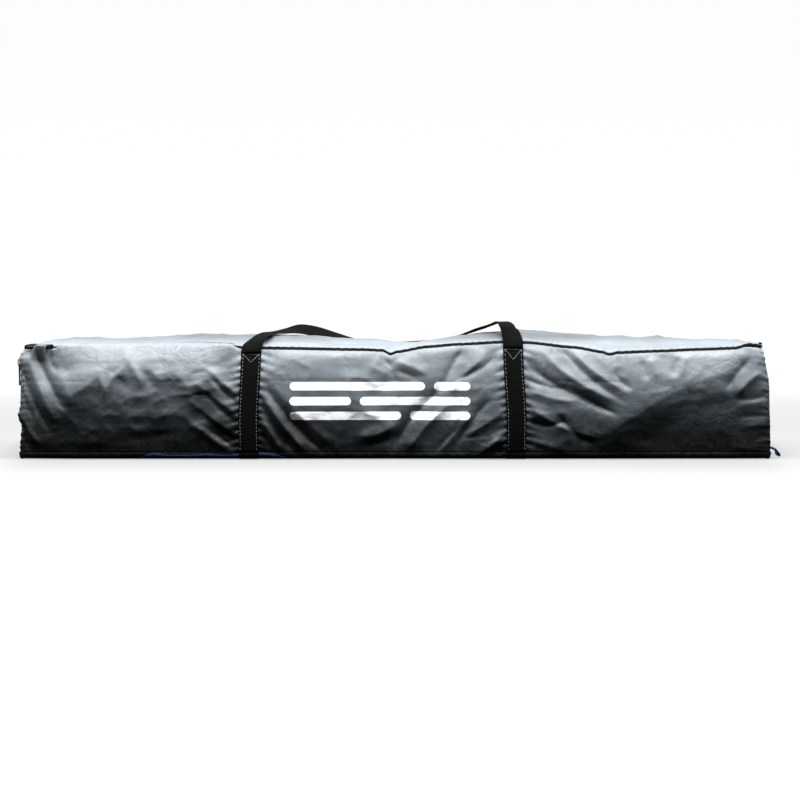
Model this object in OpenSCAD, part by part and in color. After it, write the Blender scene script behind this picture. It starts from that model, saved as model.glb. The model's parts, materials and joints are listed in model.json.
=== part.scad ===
// Long zipped carry bag with a drop-down front, two webbing handles and its bundled contents.
// +X runs along the bag, the front faces -Y, +Z is up, and the origin is under the middle of the base.

/* [Bag] */
// Length along X
bag_l = 1200; // [900:10:1400]
// Depth from front to back
bag_d = 200; // [180:5:240]
// Height of the filled bag
bag_h = 200; // [190:2:240]
// Thickness of a filled cloth wall
wall_t = 3; // [2:0.5:4]
// Rounding of the two long top edges
top_r = 18; // [12:1:18]
// Rounding of the two long bottom edges
base_r = 10; // [6:1:10]

/* [Webbing] */
// Width of every webbing strap
web_w = 32; // [25:1:38]
// Thickness of the webbing
web_t = 2.2; // [1.5:0.1:2.2]
// Centre of the left strap along X
strap_left_x = -234; // [-300:2:-200]
// Centre of the right strap along X
strap_right_x = 194; // [150:2:260]
// Free length from a strap's top to the middle of the handle
handle_reach = 150; // [130:5:155]

/* [Zip] */
// Depth of the zip line below the top of the bag
zip_drop = 20; // [19:1:26]
// Distance of the end legs behind the front face
leg_inset = 18; // [17:1:24]
// Length of a slider body
slider_l = 22; // [18:1:24]
// Length of a pull tab beyond its pivot
tab_l = 34; // [24:1:36]
// Travel of the slider on the long run
top_travel = 1130; // [600:10:1130]
// Travel of the slider on the left end
end_travel = 90; // [60:5:90]

/* [Contents] */
// Diameter of one pole
pole_dia = 25; // [16:1:25]
// Length of one pole without its caps
pole_l = 1090; // [800:10:1100]
// Diameter of the rolled sheet
roll_dia = 112; // [90:2:114]
// Length of the rolled sheet
roll_l = 1080; // [800:10:1120]

/* [Hidden] */

// Cloth, webbing and metal colours
cloth = [0.30, 0.32, 0.35];
black = [0.06, 0.06, 0.07];
metal = [0.22, 0.22, 0.24];
navy = [0.07, 0.13, 0.26];
steel = [0.72, 0.73, 0.75];

half_l = bag_l / 2;
half_d = bag_d / 2;
inner_l = half_l - wall_t;
zip_z = bag_h - zip_drop;
leg_y = -half_d + leg_inset;

// Zip section: half gap between the coils, their outer edge, the cloth edge and the tape edge
coil_gap = 0.8;
coil_w = 4.2;
cloth_edge = 6.5;
tape_w = 13;
tape_t = 1.2;
parked_edge = 7;

// The front panel folds down about this line
fold_z = base_r + 1;
front_z0 = fold_z + 2;
front_z1 = zip_z - cloth_edge;
leg_z0 = front_z0 + 4;
leg_z1 = front_z1 - 1;

// Slider body and pull tab
slider_w = 11;
plate_t = 1.5;
slider_gap = 0.4;
post_w = 1;
bridge_w = 3;
bridge_x0 = -3;
bridge_x1 = 5;
pivot_x = 2;
pivot_y = -3.55;
pivot_r = 0.9;
tab_t = 1.6;
tab_w = 8;
tab_eye_w = 4.6;
tab_eye_l = 6;
top_slider_x = -half_l + 20;
end_slider_z = zip_z - 28;
top_parked_l = 55;
top_parked_end_x = top_slider_x + top_travel - slider_l / 2 - 3;
end_parked_top_z = end_slider_z - tab_l - pivot_x - 4;
end_parked_low_z = end_slider_z - end_travel + slider_l / 2 + 2;

// Handles hinge where they leave the straps
handle_gap = 1.3;
handle_z = zip_z - 12;
handle_y = half_d + web_t + handle_gap + web_t / 2;
handle_top_z = bag_h + 4.5;
handle_back_y = handle_reach - 140;

// Contents
pole_pitch = pole_dia + 2.5;
pole_z = wall_t + 2 + pole_dia / 2;
pole_wall = 1.5;
cap_l = 14;
cap_lip = 0.5;
roll_y = 32;
roll_z = pole_z + pole_dia / 2 + 2 + roll_dia / 2;
tie_w = 30;
tie_t = 2;
pouch_l = 330;
pouch_d = 66;
pouch_h = 74;
pouch_y = -60;

// Short cord at the low right corner
cord_dia = 4;
cord_sides = 8;
knot_r = 3.4;
anchor_t = 2;
cord_route = [
  [602.4, -84, 16], [606, -84, 16], [609.5, -83.8, 15], [612.5, -83.4, 13.2], [615, -82.8, 11],
  [617.2, -81.8, 8.6], [619.2, -80.2, 6.2], [620.8, -77.8, 4.2], [622, -74.6, 2.9], [622.8, -71, 2.3],
  [623.2, -67, 2.1], [623, -63, 2.1], [622.4, -59, 2.1], [622, -55, 2.1], [622.2, -51, 2.1],
  [623, -47.4, 2.1]
];

// Cross-section of the filled bag, drawn with Y across and Z up
module section(inset) {
  w = bag_d - 2 * inset;
  h = bag_h - 2 * inset;
  rt = top_r - inset;
  rb = base_r - inset;
  translate([0, inset]) {
    translate([-w / 2, rb]) square([w, h - rb - rt]);
    translate([-w / 2 + rt, rb]) square([w - 2 * rt, h - rb]);
    translate([-w / 2 + rb, 0]) square([w - 2 * rb, rb]);
    for (side = [-1, 1]) {
      translate([side * (w / 2 - rt), h - rt]) circle(rt, $fn = 64);
      translate([side * (w / 2 - rb), rb]) circle(rb, $fn = 48);
    }
  }
}

// Extrudes a Y-Z section along X
module along_x(x0, x1) {
  translate([x0, 0, 0]) rotate([90, 0, 90]) linear_extrude(x1 - x0) children();
}

module box(low, high) {
  translate(low) cube(high - low);
}

// Part of the cloth tube between two heights, from a line at y0 to the back
module tube_part(z0, z1, y0) {
  along_x(-inner_l, inner_l) intersection() {
    difference() {
      section(0);
      section(wall_t);
    }
    translate([y0, z0]) square([2 * bag_d, z1 - z0]);
  }
}

// Direction of v turned a quarter turn, and the offset that keeps a bent strip's thickness at point i
function unit(v) = v / norm(v);
function across(v) = [-v.y, v.x] / norm(v);
function corner_offset(path, i) =
  let (last = len(path) - 1)
  let (before = across(path[max(i, 1)] - path[max(i, 1) - 1]))
  let (after = across(path[min(i, last - 1) + 1] - path[min(i, last - 1)]))
  let (middle = unit(before + after))
  middle / (middle * before);

// Outline of a strip of webbing that follows points in the Y-Z plane
module ribbon(path, t) {
  last = len(path) - 1;
  one_side = [for (i = [0 : last]) path[i] + t / 2 * corner_offset(path, i)];
  other_side = [for (i = [last : -1 : 0]) path[i] - t / 2 * corner_offset(path, i)];
  polygon(concat(one_side, other_side));
}

module bottom_panel() {
  color(cloth) difference() {
    tube_part(0, base_r, -bag_d);
    for (x = [strap_left_x, strap_right_x])
      box([x - web_w / 2, -half_d + base_r, -1], [x + web_w / 2, half_d - base_r, wall_t / 2]);
  }
}

module back_panel() {
  color(cloth) tube_part(base_r, zip_z + cloth_edge, 0);
}

module top_panel() {
  color(cloth) tube_part(zip_z + cloth_edge, bag_h, -bag_d);
}

// End panel at the right; its front strip is left out for the zip leg and the front's return
module end_panel() {
  difference() {
    along_x(inner_l, half_l) section(0);
    box([inner_l - 1, -half_d - 1, base_r], [half_l + 1, leg_y + cloth_edge, zip_z + cloth_edge]);
  }
}

module left_end_panel() {
  color(cloth) mirror([1, 0, 0]) end_panel();
}

module right_end_panel() {
  color(cloth) end_panel();
}

// Binding tape over the seam inside an end, open along the front
module end_binding() {
  binding_l = 8;
  along_x(inner_l - binding_l, inner_l) difference() {
    section(wall_t);
    section(wall_t + 2);
    translate([-half_d, base_r]) square([leg_inset + tape_w + 4, bag_h - 2 * base_r]);
  }
}

module left_end_binding() {
  color(black) mirror([1, 0, 0]) end_binding();
}

module right_end_binding() {
  color(black) end_binding();
}

// A strip beside a zip line: X along the zip, -Y outward, Z across, between two distances
module zip_strip(from, to, near, far, y0, y1) {
  box([from, y0, min(near, far)], [to, y1, max(near, far)]);
}

// Frame of the long run, of the left leg and of the right leg, each with X along the zip
module on_top_run() {
  translate([0, -half_d, zip_z]) children();
}

module on_left_leg() {
  translate([-half_l, leg_y, 0]) rotate([90, 90, 0]) children();
}

module on_right_leg() {
  mirror([1, 0, 0]) on_left_leg() children();
}

module rear_zip_tape() {
  color(black) {
    on_top_run() zip_strip(-inner_l + 4, inner_l - 4, coil_gap, cloth_edge, wall_t, wall_t + tape_t);
    on_left_leg() zip_strip(-leg_z1, -leg_z0, -coil_gap, -tape_w, wall_t, wall_t + tape_t);
    on_right_leg() zip_strip(-leg_z1, -leg_z0, -coil_gap, -tape_w, wall_t, wall_t + tape_t);
  }
}

module rear_zip_coil() {
  color(black) {
    on_top_run() zip_strip(-inner_l + 4, inner_l - 4, coil_gap, coil_w, 0, wall_t);
    on_left_leg() zip_strip(-leg_z1, -leg_z0, -coil_gap, -coil_w, 0, wall_t);
    on_right_leg() zip_strip(-leg_z1, -leg_z0, -coil_gap, -coil_w, 0, wall_t);
  }
}

module zip_stops() {
  stop_l = 3;
  color(metal) {
    on_left_leg() zip_strip(-leg_z0, -leg_z0 + stop_l, -coil_gap, -5, 0, wall_t + tape_t);
    on_right_leg() zip_strip(-leg_z0, -leg_z0 + stop_l, -coil_gap, -5, 0, wall_t + tape_t);
  }
}

module bottom_straps() {
  color(black) for (x = [strap_left_x, strap_right_x])
    box([x - web_w / 2, -half_d + base_r, 0], [x + web_w / 2, half_d - base_r, wall_t / 2]);
}

module face_strap(x, side) {
  low = side < 0 ? -half_d - web_t : half_d;
  color(black) box([x - web_w / 2, low, front_z0], [x + web_w / 2, low + web_t, handle_z + 3]);
}

module rear_left_strap() {
  face_strap(strap_left_x, 1);
}

module rear_right_strap() {
  face_strap(strap_right_x, 1);
}

// Drop-down front: the face and a narrow return round each end
module front_panel() {
  color(cloth) {
    box([-half_l, -half_d, front_z0], [half_l, -half_d + wall_t, front_z1]);
    for (side = [-1, 1])
      box([side < 0 ? -half_l : inner_l, -half_d, front_z0],
          [side < 0 ? -inner_l : half_l, leg_y - cloth_edge, front_z1]);
  }
}

module front_hem() {
  hem_h = 10;
  color(black) box([-inner_l + 2, -half_d + wall_t, front_z0], [inner_l - 2, -half_d + wall_t + 1.6, front_z0 + hem_h]);
}

// The front's tape reaches the coil except where a parked slider and its tab lie over it
module front_zip_tape() {
  y0 = wall_t;
  y1 = wall_t + tape_t;
  color(black) {
    on_top_run() zip_strip(-inner_l + 4, inner_l - 4, -parked_edge, -tape_w, y0, y1);
    on_top_run() zip_strip(-half_l + top_parked_l, top_parked_end_x, -coil_gap, -parked_edge, y0, y1);
    on_left_leg() zip_strip(-leg_z1, -leg_z0, parked_edge, tape_w, y0, y1);
    on_left_leg() zip_strip(-end_parked_top_z, -end_parked_low_z, coil_gap, parked_edge, y0, y1);
    on_right_leg() zip_strip(-leg_z1, -leg_z0, coil_gap, tape_w, y0, y1);
  }
}

module front_zip_coil() {
  color(black) {
    on_top_run() zip_strip(-half_l + top_parked_l, top_parked_end_x, -coil_gap, -coil_w, 0, wall_t);
    on_left_leg() zip_strip(-end_parked_top_z, -end_parked_low_z, coil_gap, coil_w, 0, wall_t);
    on_right_leg() zip_strip(-leg_z1, -leg_z0, coil_gap, coil_w, 0, wall_t);
  }
}

module front_left_strap() {
  face_strap(strap_left_x, -1);
}

module front_right_strap() {
  face_strap(strap_right_x, -1);
}

// Front handle at rest: up over the zip, round the top edge and back across the top
module front_handle() {
  leg = [
    [-handle_y, handle_z], [-half_d - 10, zip_z], [-half_d - 4, bag_h - 8],
    [-half_d + 12, handle_top_z], [handle_back_y - web_w / 2, handle_top_z]
  ];
  color(black) {
    for (x = [strap_left_x, strap_right_x]) along_x(x - web_w / 2, x + web_w / 2) ribbon(leg, web_t);
    box([strap_left_x - web_w / 2, handle_back_y - web_w / 2, handle_top_z - web_t / 2],
        [strap_right_x + web_w / 2, handle_back_y + web_w / 2, handle_top_z + web_t / 2]);
  }
}

// Rear handle at rest: hanging down the back
module rear_handle() {
  low_z = handle_z - handle_reach + web_w / 2;
  color(black) {
    for (x = [strap_left_x, strap_right_x])
      box([x - web_w / 2, handle_y - web_t / 2, low_z], [x + web_w / 2, handle_y + web_t / 2, handle_z]);
    box([strap_left_x - web_w / 2, handle_y - web_t / 2, low_z - web_w / 2],
        [strap_right_x + web_w / 2, handle_y + web_t / 2, low_z + web_w / 2]);
  }
}

// Slider body: outer and inner plates joined by a thin post, and the bridge that holds the tab
module slider_body() {
  outer_y = -slider_gap - plate_t;
  inner_y = wall_t + tape_t + slider_gap;
  bridge_y = pivot_y - pivot_r - 0.45;
  box([-slider_l / 2, outer_y, -slider_w / 2], [slider_l / 2, -slider_gap, slider_w / 2]);
  box([-slider_l / 2, inner_y, -slider_w / 2], [slider_l / 2, inner_y + plate_t, slider_w / 2]);
  box([-slider_l / 2, -slider_gap, -post_w / 2], [-slider_l / 2 + 8, inner_y, post_w / 2]);
  box([bridge_x0, bridge_y - 1.1, -bridge_w / 2], [bridge_x1, bridge_y, bridge_w / 2]);
  box([bridge_x0, bridge_y, -bridge_w / 2], [bridge_x0 + 1.4, outer_y, bridge_w / 2]);
  box([bridge_x1 - 1.4, bridge_y, -bridge_w / 2], [bridge_x1, outer_y, bridge_w / 2]);
}

// Pull tab lying along the zip, with the eye that the bridge passes through
module slider_tab() {
  translate([pivot_x, pivot_y, 0]) {
    cylinder(h = tab_w, r = pivot_r, center = true, $fn = 32);
    rotate([90, 0, 0]) translate([0, 0, -tab_t / 2]) linear_extrude(tab_t) difference() {
      union() {
        translate([0, -tab_w / 2]) square([tab_l - tab_w / 2, tab_w]);
        translate([tab_l - tab_w / 2, 0]) circle(tab_w / 2, $fn = 48);
      }
      translate([-1, -tab_eye_w / 2]) square([1 + tab_eye_l, tab_eye_w]);
    }
  }
}

module top_slider() {
  color(metal) translate([top_slider_x, 0, 0]) on_top_run() slider_body();
}

module top_slider_tab() {
  color(metal) translate([top_slider_x, 0, 0]) on_top_run() slider_tab();
}

module end_slider() {
  color(metal) translate([0, 0, end_slider_z]) on_left_leg() slider_body();
}

module end_slider_tab() {
  color(metal) translate([0, 0, end_slider_z]) on_left_leg() slider_tab();
}

module cord_anchor() {
  color(black) box([half_l, -90, 11], [half_l + anchor_t, -78, 24]);
}

// Direction of the route at point i, and two directions across it
function route_dir(i) =
  let (last = len(cord_route) - 1)
  let (d = cord_route[min(i + 1, last)] - cord_route[max(i - 1, 0)])
  d / norm(d);
function route_side(i) =
  let (s = cross([0, 0, 1], route_dir(i)))
  s / norm(s);
function route_ring(i) =
  let (s = route_side(i))
  let (u = cross(route_dir(i), s))
  [for (k = [0 : cord_sides - 1])
    let (a = 360 * k / cord_sides)
    cord_route[i] + cord_dia / 2 * (cos(a) * s + sin(a) * u)];

module corner_cord() {
  rings = len(cord_route);
  points = [for (i = [0 : rings - 1]) each route_ring(i)];
  walls = [for (i = [0 : rings - 2], k = [0 : cord_sides - 1])
    [i * cord_sides + k, (i + 1) * cord_sides + k,
     (i + 1) * cord_sides + (k + 1) % cord_sides, i * cord_sides + (k + 1) % cord_sides]];
  first_end = [for (k = [0 : cord_sides - 1]) k];
  last_end = [for (k = [cord_sides - 1 : -1 : 0]) (rings - 1) * cord_sides + k];
  color(navy) polyhedron(points, concat(walls, [first_end, last_end]), convexity = 4);
}

module cord_knot() {
  last = len(cord_route) - 1;
  color(navy) translate(cord_route[last] + knot_r * route_dir(last) + [0, 0, knot_r - cord_dia / 2 - 0.05])
    sphere(knot_r, $fn = 32);
}

module pole(number) {
  y = (number - 3.5) * pole_pitch;
  color(steel) translate([0, y, pole_z]) rotate([0, 90, 0]) difference() {
    cylinder(h = pole_l, d = pole_dia, center = true, $fn = 64);
    cylinder(h = pole_l + 2, d = pole_dia - 2 * pole_wall, center = true, $fn = 64);
  }
}

module pole_end_caps() {
  color(black) for (number = [1 : 6], side = [-1, 1])
    translate([side * pole_l / 2, (number - 3.5) * pole_pitch, pole_z]) rotate([0, side * 90, 0]) {
      translate([0, 0, -cap_l]) cylinder(h = cap_l, d = pole_dia - 2 * pole_wall, $fn = 64);
      cylinder(h = 4, d = pole_dia + 2 * cap_lip, $fn = 64);
    }
}

module on_roll() {
  translate([0, roll_y, roll_z]) rotate([0, 90, 0]) children();
}

module rolled_sheet() {
  color(navy) on_roll() cylinder(h = roll_l, d = roll_dia, center = true, $fn = 96);
}

module sheet_tie(x) {
  color(black) translate([x, 0, 0]) on_roll() difference() {
    cylinder(h = tie_w, d = roll_dia + 2 * tie_t, center = true, $fn = 96);
    cylinder(h = tie_w + 2, d = roll_dia, center = true, $fn = 96);
  }
}

module sheet_tie_left() {
  sheet_tie(-roll_l / 4);
}

module sheet_tie_right() {
  sheet_tie(roll_l / 4);
}

module peg_pouch() {
  round_r = 20;
  low_z = pole_z + pole_dia / 2 + 2;
  color(navy) translate([-pouch_l / 2, pouch_y - pouch_d / 2, low_z]) rotate([90, 0, 90])
    linear_extrude(pouch_l) {
      translate([round_r, 0]) square([pouch_d - 2 * round_r, pouch_h]);
      translate([0, round_r]) square([pouch_d, pouch_h - 2 * round_r]);
      for (u = [round_r, pouch_d - round_r], v = [round_r, pouch_h - round_r])
        translate([u, v]) circle(round_r, $fn = 48);
    }
}

bottom_panel();
back_panel();
top_panel();
left_end_panel();
right_end_panel();
left_end_binding();
right_end_binding();
rear_zip_tape();
rear_zip_coil();
zip_stops();
bottom_straps();
rear_left_strap();
rear_right_strap();
front_panel();
front_hem();
front_zip_tape();
front_zip_coil();
front_left_strap();
front_right_strap();
front_handle();
rear_handle();
top_slider();
top_slider_tab();
end_slider();
end_slider_tab();
cord_anchor();
corner_cord();
cord_knot();
pole(1);  // pole_1
pole(2);  // pole_2
pole(3);  // pole_3
pole(4);  // pole_4
pole(5);  // pole_5
pole(6);  // pole_6
pole_end_caps();
rolled_sheet();
sheet_tie_left();
sheet_tie_right();
peg_pouch();
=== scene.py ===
"""A long, full, zipped carry bag: coated cloth shell, coil zip, webbing, handles and contents."""

import json
import math
from functools import partial

import bmesh
import bpy
import numpy as np
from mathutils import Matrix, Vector


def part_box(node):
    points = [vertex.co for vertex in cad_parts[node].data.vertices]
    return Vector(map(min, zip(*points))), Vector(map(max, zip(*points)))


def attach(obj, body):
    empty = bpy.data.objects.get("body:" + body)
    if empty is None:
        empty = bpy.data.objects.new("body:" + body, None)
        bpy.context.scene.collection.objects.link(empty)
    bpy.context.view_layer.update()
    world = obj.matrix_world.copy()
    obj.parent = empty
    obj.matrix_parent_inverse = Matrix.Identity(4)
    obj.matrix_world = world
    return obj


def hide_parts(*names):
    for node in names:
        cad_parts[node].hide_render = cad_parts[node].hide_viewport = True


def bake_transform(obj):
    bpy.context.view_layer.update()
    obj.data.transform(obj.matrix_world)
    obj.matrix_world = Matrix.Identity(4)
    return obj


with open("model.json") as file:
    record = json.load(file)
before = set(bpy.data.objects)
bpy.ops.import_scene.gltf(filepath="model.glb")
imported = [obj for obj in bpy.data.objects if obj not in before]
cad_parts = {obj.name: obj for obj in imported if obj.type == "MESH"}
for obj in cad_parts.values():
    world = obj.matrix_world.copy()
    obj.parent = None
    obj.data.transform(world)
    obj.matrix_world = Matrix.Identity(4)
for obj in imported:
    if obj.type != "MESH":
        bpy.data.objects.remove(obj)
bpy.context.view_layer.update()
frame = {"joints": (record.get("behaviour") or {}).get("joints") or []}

# ---------------------------------------------------------------- sizes from the frame, in metres
HALF_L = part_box("front_panel")[1].x
HALF_D = -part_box("front_panel")[0].y
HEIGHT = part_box("top_panel")[1].z
SLIDER_LOW, SLIDER_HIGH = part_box("top_slider")
ZIP_Z = (SLIDER_LOW.z + SLIDER_HIGH.z) / 2
END_LOW, END_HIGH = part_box("end_slider")
LEG_Y = (END_LOW.y + END_HIGH.y) / 2
PIVOTS = {joint["name"]: joint.get("pos_m") for joint in frame["joints"]}
FOLD_Z = PIVOTS["front_fold"][2]
WEB_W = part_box("front_left_strap")[1].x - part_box("front_left_strap")[0].x


def middle_x(node):
    """The middle of a CAD node along the bag."""
    low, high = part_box(node)
    return (low.x + high.x) / 2


STRAP_X = [middle_x("front_left_strap"), middle_x("front_right_strap")]
STRAP_TOP = PIVOTS["front_handle_swing"][2] + 0.003
WEB_T = 0.0019  # webbing thickness
CLOTH_T = 0.0011
ZIP_GAP = 0.0027  # from the zip's middle to the cloth's edge
SEED = 7


def add_object(name, data):
    obj = bpy.data.objects.new(name, data)
    bpy.context.scene.collection.objects.link(obj)
    return obj


# ---------------------------------------------------------------- camera
def make_camera():
    """Nearly level, square to the front, and far enough back for a flat look."""
    distance, view_width = 2.9, 1.28
    elevation = math.radians(5)
    target = Vector((0.008, -HALF_D, 0.0944))
    data = bpy.data.cameras.new("camera")
    data.sensor_width = 36
    data.lens = 36 * distance / view_width
    camera = add_object("camera", data)
    camera.location = target + distance * Vector((0, -math.cos(elevation), math.sin(elevation)))
    camera.rotation_euler = (math.pi / 2 - elevation, 0, 0)
    bpy.context.scene.camera = camera


make_camera()


# ---------------------------------------------------------------- small maths
def smooth(a, b, x):
    """0 up to a, 1 from b, eased between them."""
    t = np.clip((x - a) / (b - a), 0, 1)
    return t * t * (3 - 2 * t)


def between(x, start, full, fading, end):
    """1 from full to fading, easing to 0 at start and end."""
    return smooth(start, full, x) * (1 - smooth(fading, end, x))


def bell(x, centre, width):
    """1 at the centre, fading to 0 on both sides."""
    return np.exp(-(((x - centre) / width) ** 2))


def eased(x, points):
    """Values at x along given (place, value) points, eased between them."""
    places = np.array([p[0] for p in points])
    values = np.array([p[1] for p in points])
    i = np.clip(np.searchsorted(places, x) - 1, 0, len(places) - 2)
    t = np.clip((x - places[i]) / (places[i + 1] - places[i]), 0, 1)
    return values[i] + (values[i + 1] - values[i]) * (0.5 * t + 0.5 * t * t * (3 - 2 * t))


def unit(vectors):
    """Vectors scaled to a length of 1."""
    return vectors / np.linalg.norm(vectors, axis=-1, keepdims=True)


def noise(u, v, size, seed):
    """Smooth random heights from -1 to 1 over a plane, size metres between bumps."""
    table = np.random.default_rng(SEED * 100 + seed).uniform(-1, 1, (128, 128))
    u, v = np.asarray(u) / size + 40, np.asarray(v) / size + 40
    i, j = np.floor(u).astype(int), np.floor(v).astype(int)
    s, t = smooth(0, 1, u - i), smooth(0, 1, v - j)
    at = lambda a, b: table[(i + a) % 128, (j + b) % 128]
    low = at(0, 0) * (1 - s) + at(1, 0) * s
    high = at(0, 1) * (1 - s) + at(1, 1) * s
    return low * (1 - t) + high * t


def line_noise(u, size, seed):
    """The same along a line."""
    return noise(u, u * 0, size, seed)


def crease_noise(u, v, size, seed):
    """Random thin ridges, as in crumpled coated cloth."""
    bend = size * 0.45
    du = bend * noise(u, v, size * 1.3, seed + 50)
    dv = bend * noise(u, v, size * 1.3, seed + 51)
    return 1 - 2.4 * np.abs(noise(u + du, v + dv, size, seed))


# ---------------------------------------------------------------- the filled shell's shape
END_R = 0.009
TOP_R = 0.042
BASE_R = 0.007

# Height of the crown along the bag
CROWN = [
    (-0.60, 0.178), (-0.575, 0.186), (-0.53, 0.1875), (-0.45, 0.187), (-0.39, 0.189), (-0.33, 0.1945),
    (-0.23, 0.195), (-0.14, 0.192), (-0.07, 0.1865), (-0.02, 0.185), (0.005, 0.181), (0.03, 0.180),
    (0.065, 0.185), (0.11, 0.191), (0.15, 0.197), (0.20, 0.2015), (0.24, 0.199), (0.30, 0.1945),
    (0.35, 0.191), (0.42, 0.189), (0.50, 0.187), (0.57, 0.187), (0.60, 0.180),
]
# How far the zip line wanders above or below its straight run
ZIP_WAVE = [
    (-0.60, 0.001), (-0.56, 0.0), (-0.45, 0.002), (-0.35, 0.003), (-0.21, 0.0), (-0.05, -0.0025),
    (-0.018, -0.004), (-0.008, -0.010), (0.004, -0.006), (0.05, 0.002), (0.10, 0.006), (0.184, 0.010),
    (0.216, 0.009), (0.29, 0.001), (0.332, -0.0065), (0.344, -0.0105), (0.356, -0.0075), (0.42, -0.005),
    (0.49, -0.002), (0.55, 0.0), (0.575, 0.006), (0.60, 0.004),
]
# The jagged ridge across the left of the front: bright above, dark below
LEFT_RIDGE = [
    (-0.545, 0.103), (-0.538, 0.106), (-0.518, 0.101), (-0.498, 0.113), (-0.472, 0.132), (-0.461, 0.112),
    (-0.446, 0.134), (-0.424, 0.154), (-0.408, 0.138), (-0.392, 0.144), (-0.372, 0.128), (-0.352, 0.136),
    (-0.330, 0.118), (-0.300, 0.128), (-0.280, 0.110), (-0.255, 0.112),
]
# The fold tables are in millimetres. Each row: from (u, v) to (u, v), half width, height, how far the middle bows.
# Folds of the front, by (x, z)
FRONT_FOLDS = [
    # left end, fanning down from the top corner
    (-588, 172, -540, 58, 10.5, 5, 3),
    (-577, 178, -526, 82, 8, -7.5, 4),
    (-598, 146, -550, 46, 6.5, -6, 3),
    (-601, 80, -566, 22, 6.5, 4.5, 2),
    (-603, 62, -580, 12, 5, -3.5, 0),
    (-602, 118, -575, 60, 5, -3, 0),
    (-552, 176, -540, 140, 7, -3.5, 4),
    # left body, broad facets rising to the right
    (-500, 30, -330, 76, 24, 3, 6),
    (-480, 20, -320, 50, 22, -3.5, 0),
    (-455, 146, -424, 112, 8, -2.2, 0),
    (-424, 150, -400, 118, 8, 2.2, 0),
    (-405, 146, -380, 112, 8, -2.2, 0),
    (-385, 160, -300, 184, 10, 2.6, 0),
    (-326, 136, -300, 142, 3, -1.4, 0),
    (-324, 104, -296, 106, 2.6, -1.8, 0),
    # into the left strap
    (-330, 98, -252, 40, 7, 4.6, 4),
    (-318, 86, -252, 28, 6, -4.4, 3),
    (-318, 124, -252, 74, 6.5, 3.6, 3),
    (-306, 112, -252, 58, 5.5, -3.6, 2),
    (-300, 146, -252, 104, 5.5, 3, 2),
    (-292, 130, -252, 90, 5, -3.2, 2),
    (-322, 56, -256, 6, 7, 3.8, 0),
    (-300, 52, -254, 16, 5, -3.4, 0),
    # away from the left strap
    (-218, 112, -132, 0, 7, 5.6, 4),
    (-218, 100, -152, 0, 6, -5.6, 3),
    (-208, 116, -104, 0, 6.5, -4.8, 4),
    (-218, 70, -172, 0, 5.5, 4.4, 0),
    (-218, 54, -188, 0, 5, -4, 0),
    (-200, 124, -78, 4, 10, 3, 4),
    # middle, below the dip in the zip
    (-12, 166, 4, 118, 8, -3.6, 0),
    (-40, 150, -10, 136, 9, 2.6, 0),
    (4, 160, 52, 136, 8, 3, 0),
    (0, 144, 40, 128, 6, -2.6, 0),
    (-36, 112, 20, 122, 8, -2.2, 0),
    (-60, 36, 6, 60, 12, 5.2, 6),
    (-50, 22, 10, 44, 8, -4, 4),
    (-80, 84, -20, 70, 12, 2.4, 0),
    # rising into the right strap
    (-8, 10, 76, 114, 8.5, -6, -8),
    (74, 110, 112, 172, 8.5, -5.8, -4),
    (20, 12, 84, 88, 8, 4.8, -4),
    (92, 112, 150, 160, 8, 4, -4),
    (98, 126, 172, 164, 6, -5.4, 2),
    (132, 142, 174, 166, 2.4, 1.8, 0),
    (70, 8, 130, 74, 7.5, 5.2, -4),
    (60, 4, 114, 60, 6.5, -4.6, -3),
    (96, 20, 152, 96, 7, -4.6, -4),
    (112, 36, 176, 78, 6.5, 3.6, 0),
    (132, 4, 178, 44, 7, 5.8, 0),
    (150, 2, 178, 20, 5.5, -4.2, 0),
    (108, 30, 152, 33, 2, 1.4, 0),
    # away from the right strap
    (214, 150, 350, 76, 8, -6, 6),
    (240, 166, 350, 94, 8, 4.8, 6),
    (272, 172, 360, 96, 6, -3.6, 5),
    (286, 170, 372, 106, 7, 3.6, 4),
    (284, 114, 352, 72, 3, -3.4, 2),
    (212, 88, 330, 34, 8.5, 5, 10),
    (214, 62, 270, 60, 7, -4.8, 6),
    (262, 70, 320, 24, 7, -5.6, 6),
    (214, 112, 290, 92, 6, 3.4, 4),
    (214, 128, 270, 112, 5, -3.4, 3),
    (220, 30, 290, 6, 8, 3.6, 0),
    # right body and end
    (330, 34, 560, 150, 33, 6.6, -14),
    (380, 20, 590, 110, 26, -1.8, -10),
    (394, 160, 402, 128, 6, -2.6, 0),
    (408, 166, 418, 130, 7, 2.6, 0),
    (452, 166, 444, 134, 6, -2.4, 0),
    (462, 168, 456, 132, 6, 2.4, 0),
    (350, 142, 376, 112, 5, -3, 3),
    (528, 112, 572, 156, 8.5, -5, -4),
    (546, 104, 590, 140, 7, 4, -4),
    (545, 96, 596, 104, 6, -2.2, 4),
    (545, 84, 596, 88, 7, 2.2, -4),
    (548, 68, 596, 70, 6, -1.8, 0),
    (548, 50, 596, 56, 6, 1.2, 0),
    (540, 18, 596, 12, 7, 2.6, 0),
]
# Folds of the top, by (x, y)
TOP_FOLDS = [
    (-560, -70, -470, 10, 14, 3, 6),
    (-420, -80, -330, -20, 12, -2.6, 6),
    (-320, -80, -260, -10, 10, 2.6, 4),
    (-200, -70, -100, -40, 12, 2.2, 0),
    (-50, -85, -10, -20, 10, -2.6, 0),
    (30, -85, 0, -10, 10, 2.2, 0),
    (250, -80, 340, -20, 14, 2.4, 6),
    (330, -85, 350, -10, 9, -2.4, 0),
    (400, -80, 440, 20, 13, 2.4, 4),
    (520, -70, 570, 30, 12, -2.6, 4),
    (-500, 60, -360, 30, 14, 2.6, 4),
    (80, 70, 220, 30, 12, -2.6, 4),
]
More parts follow.
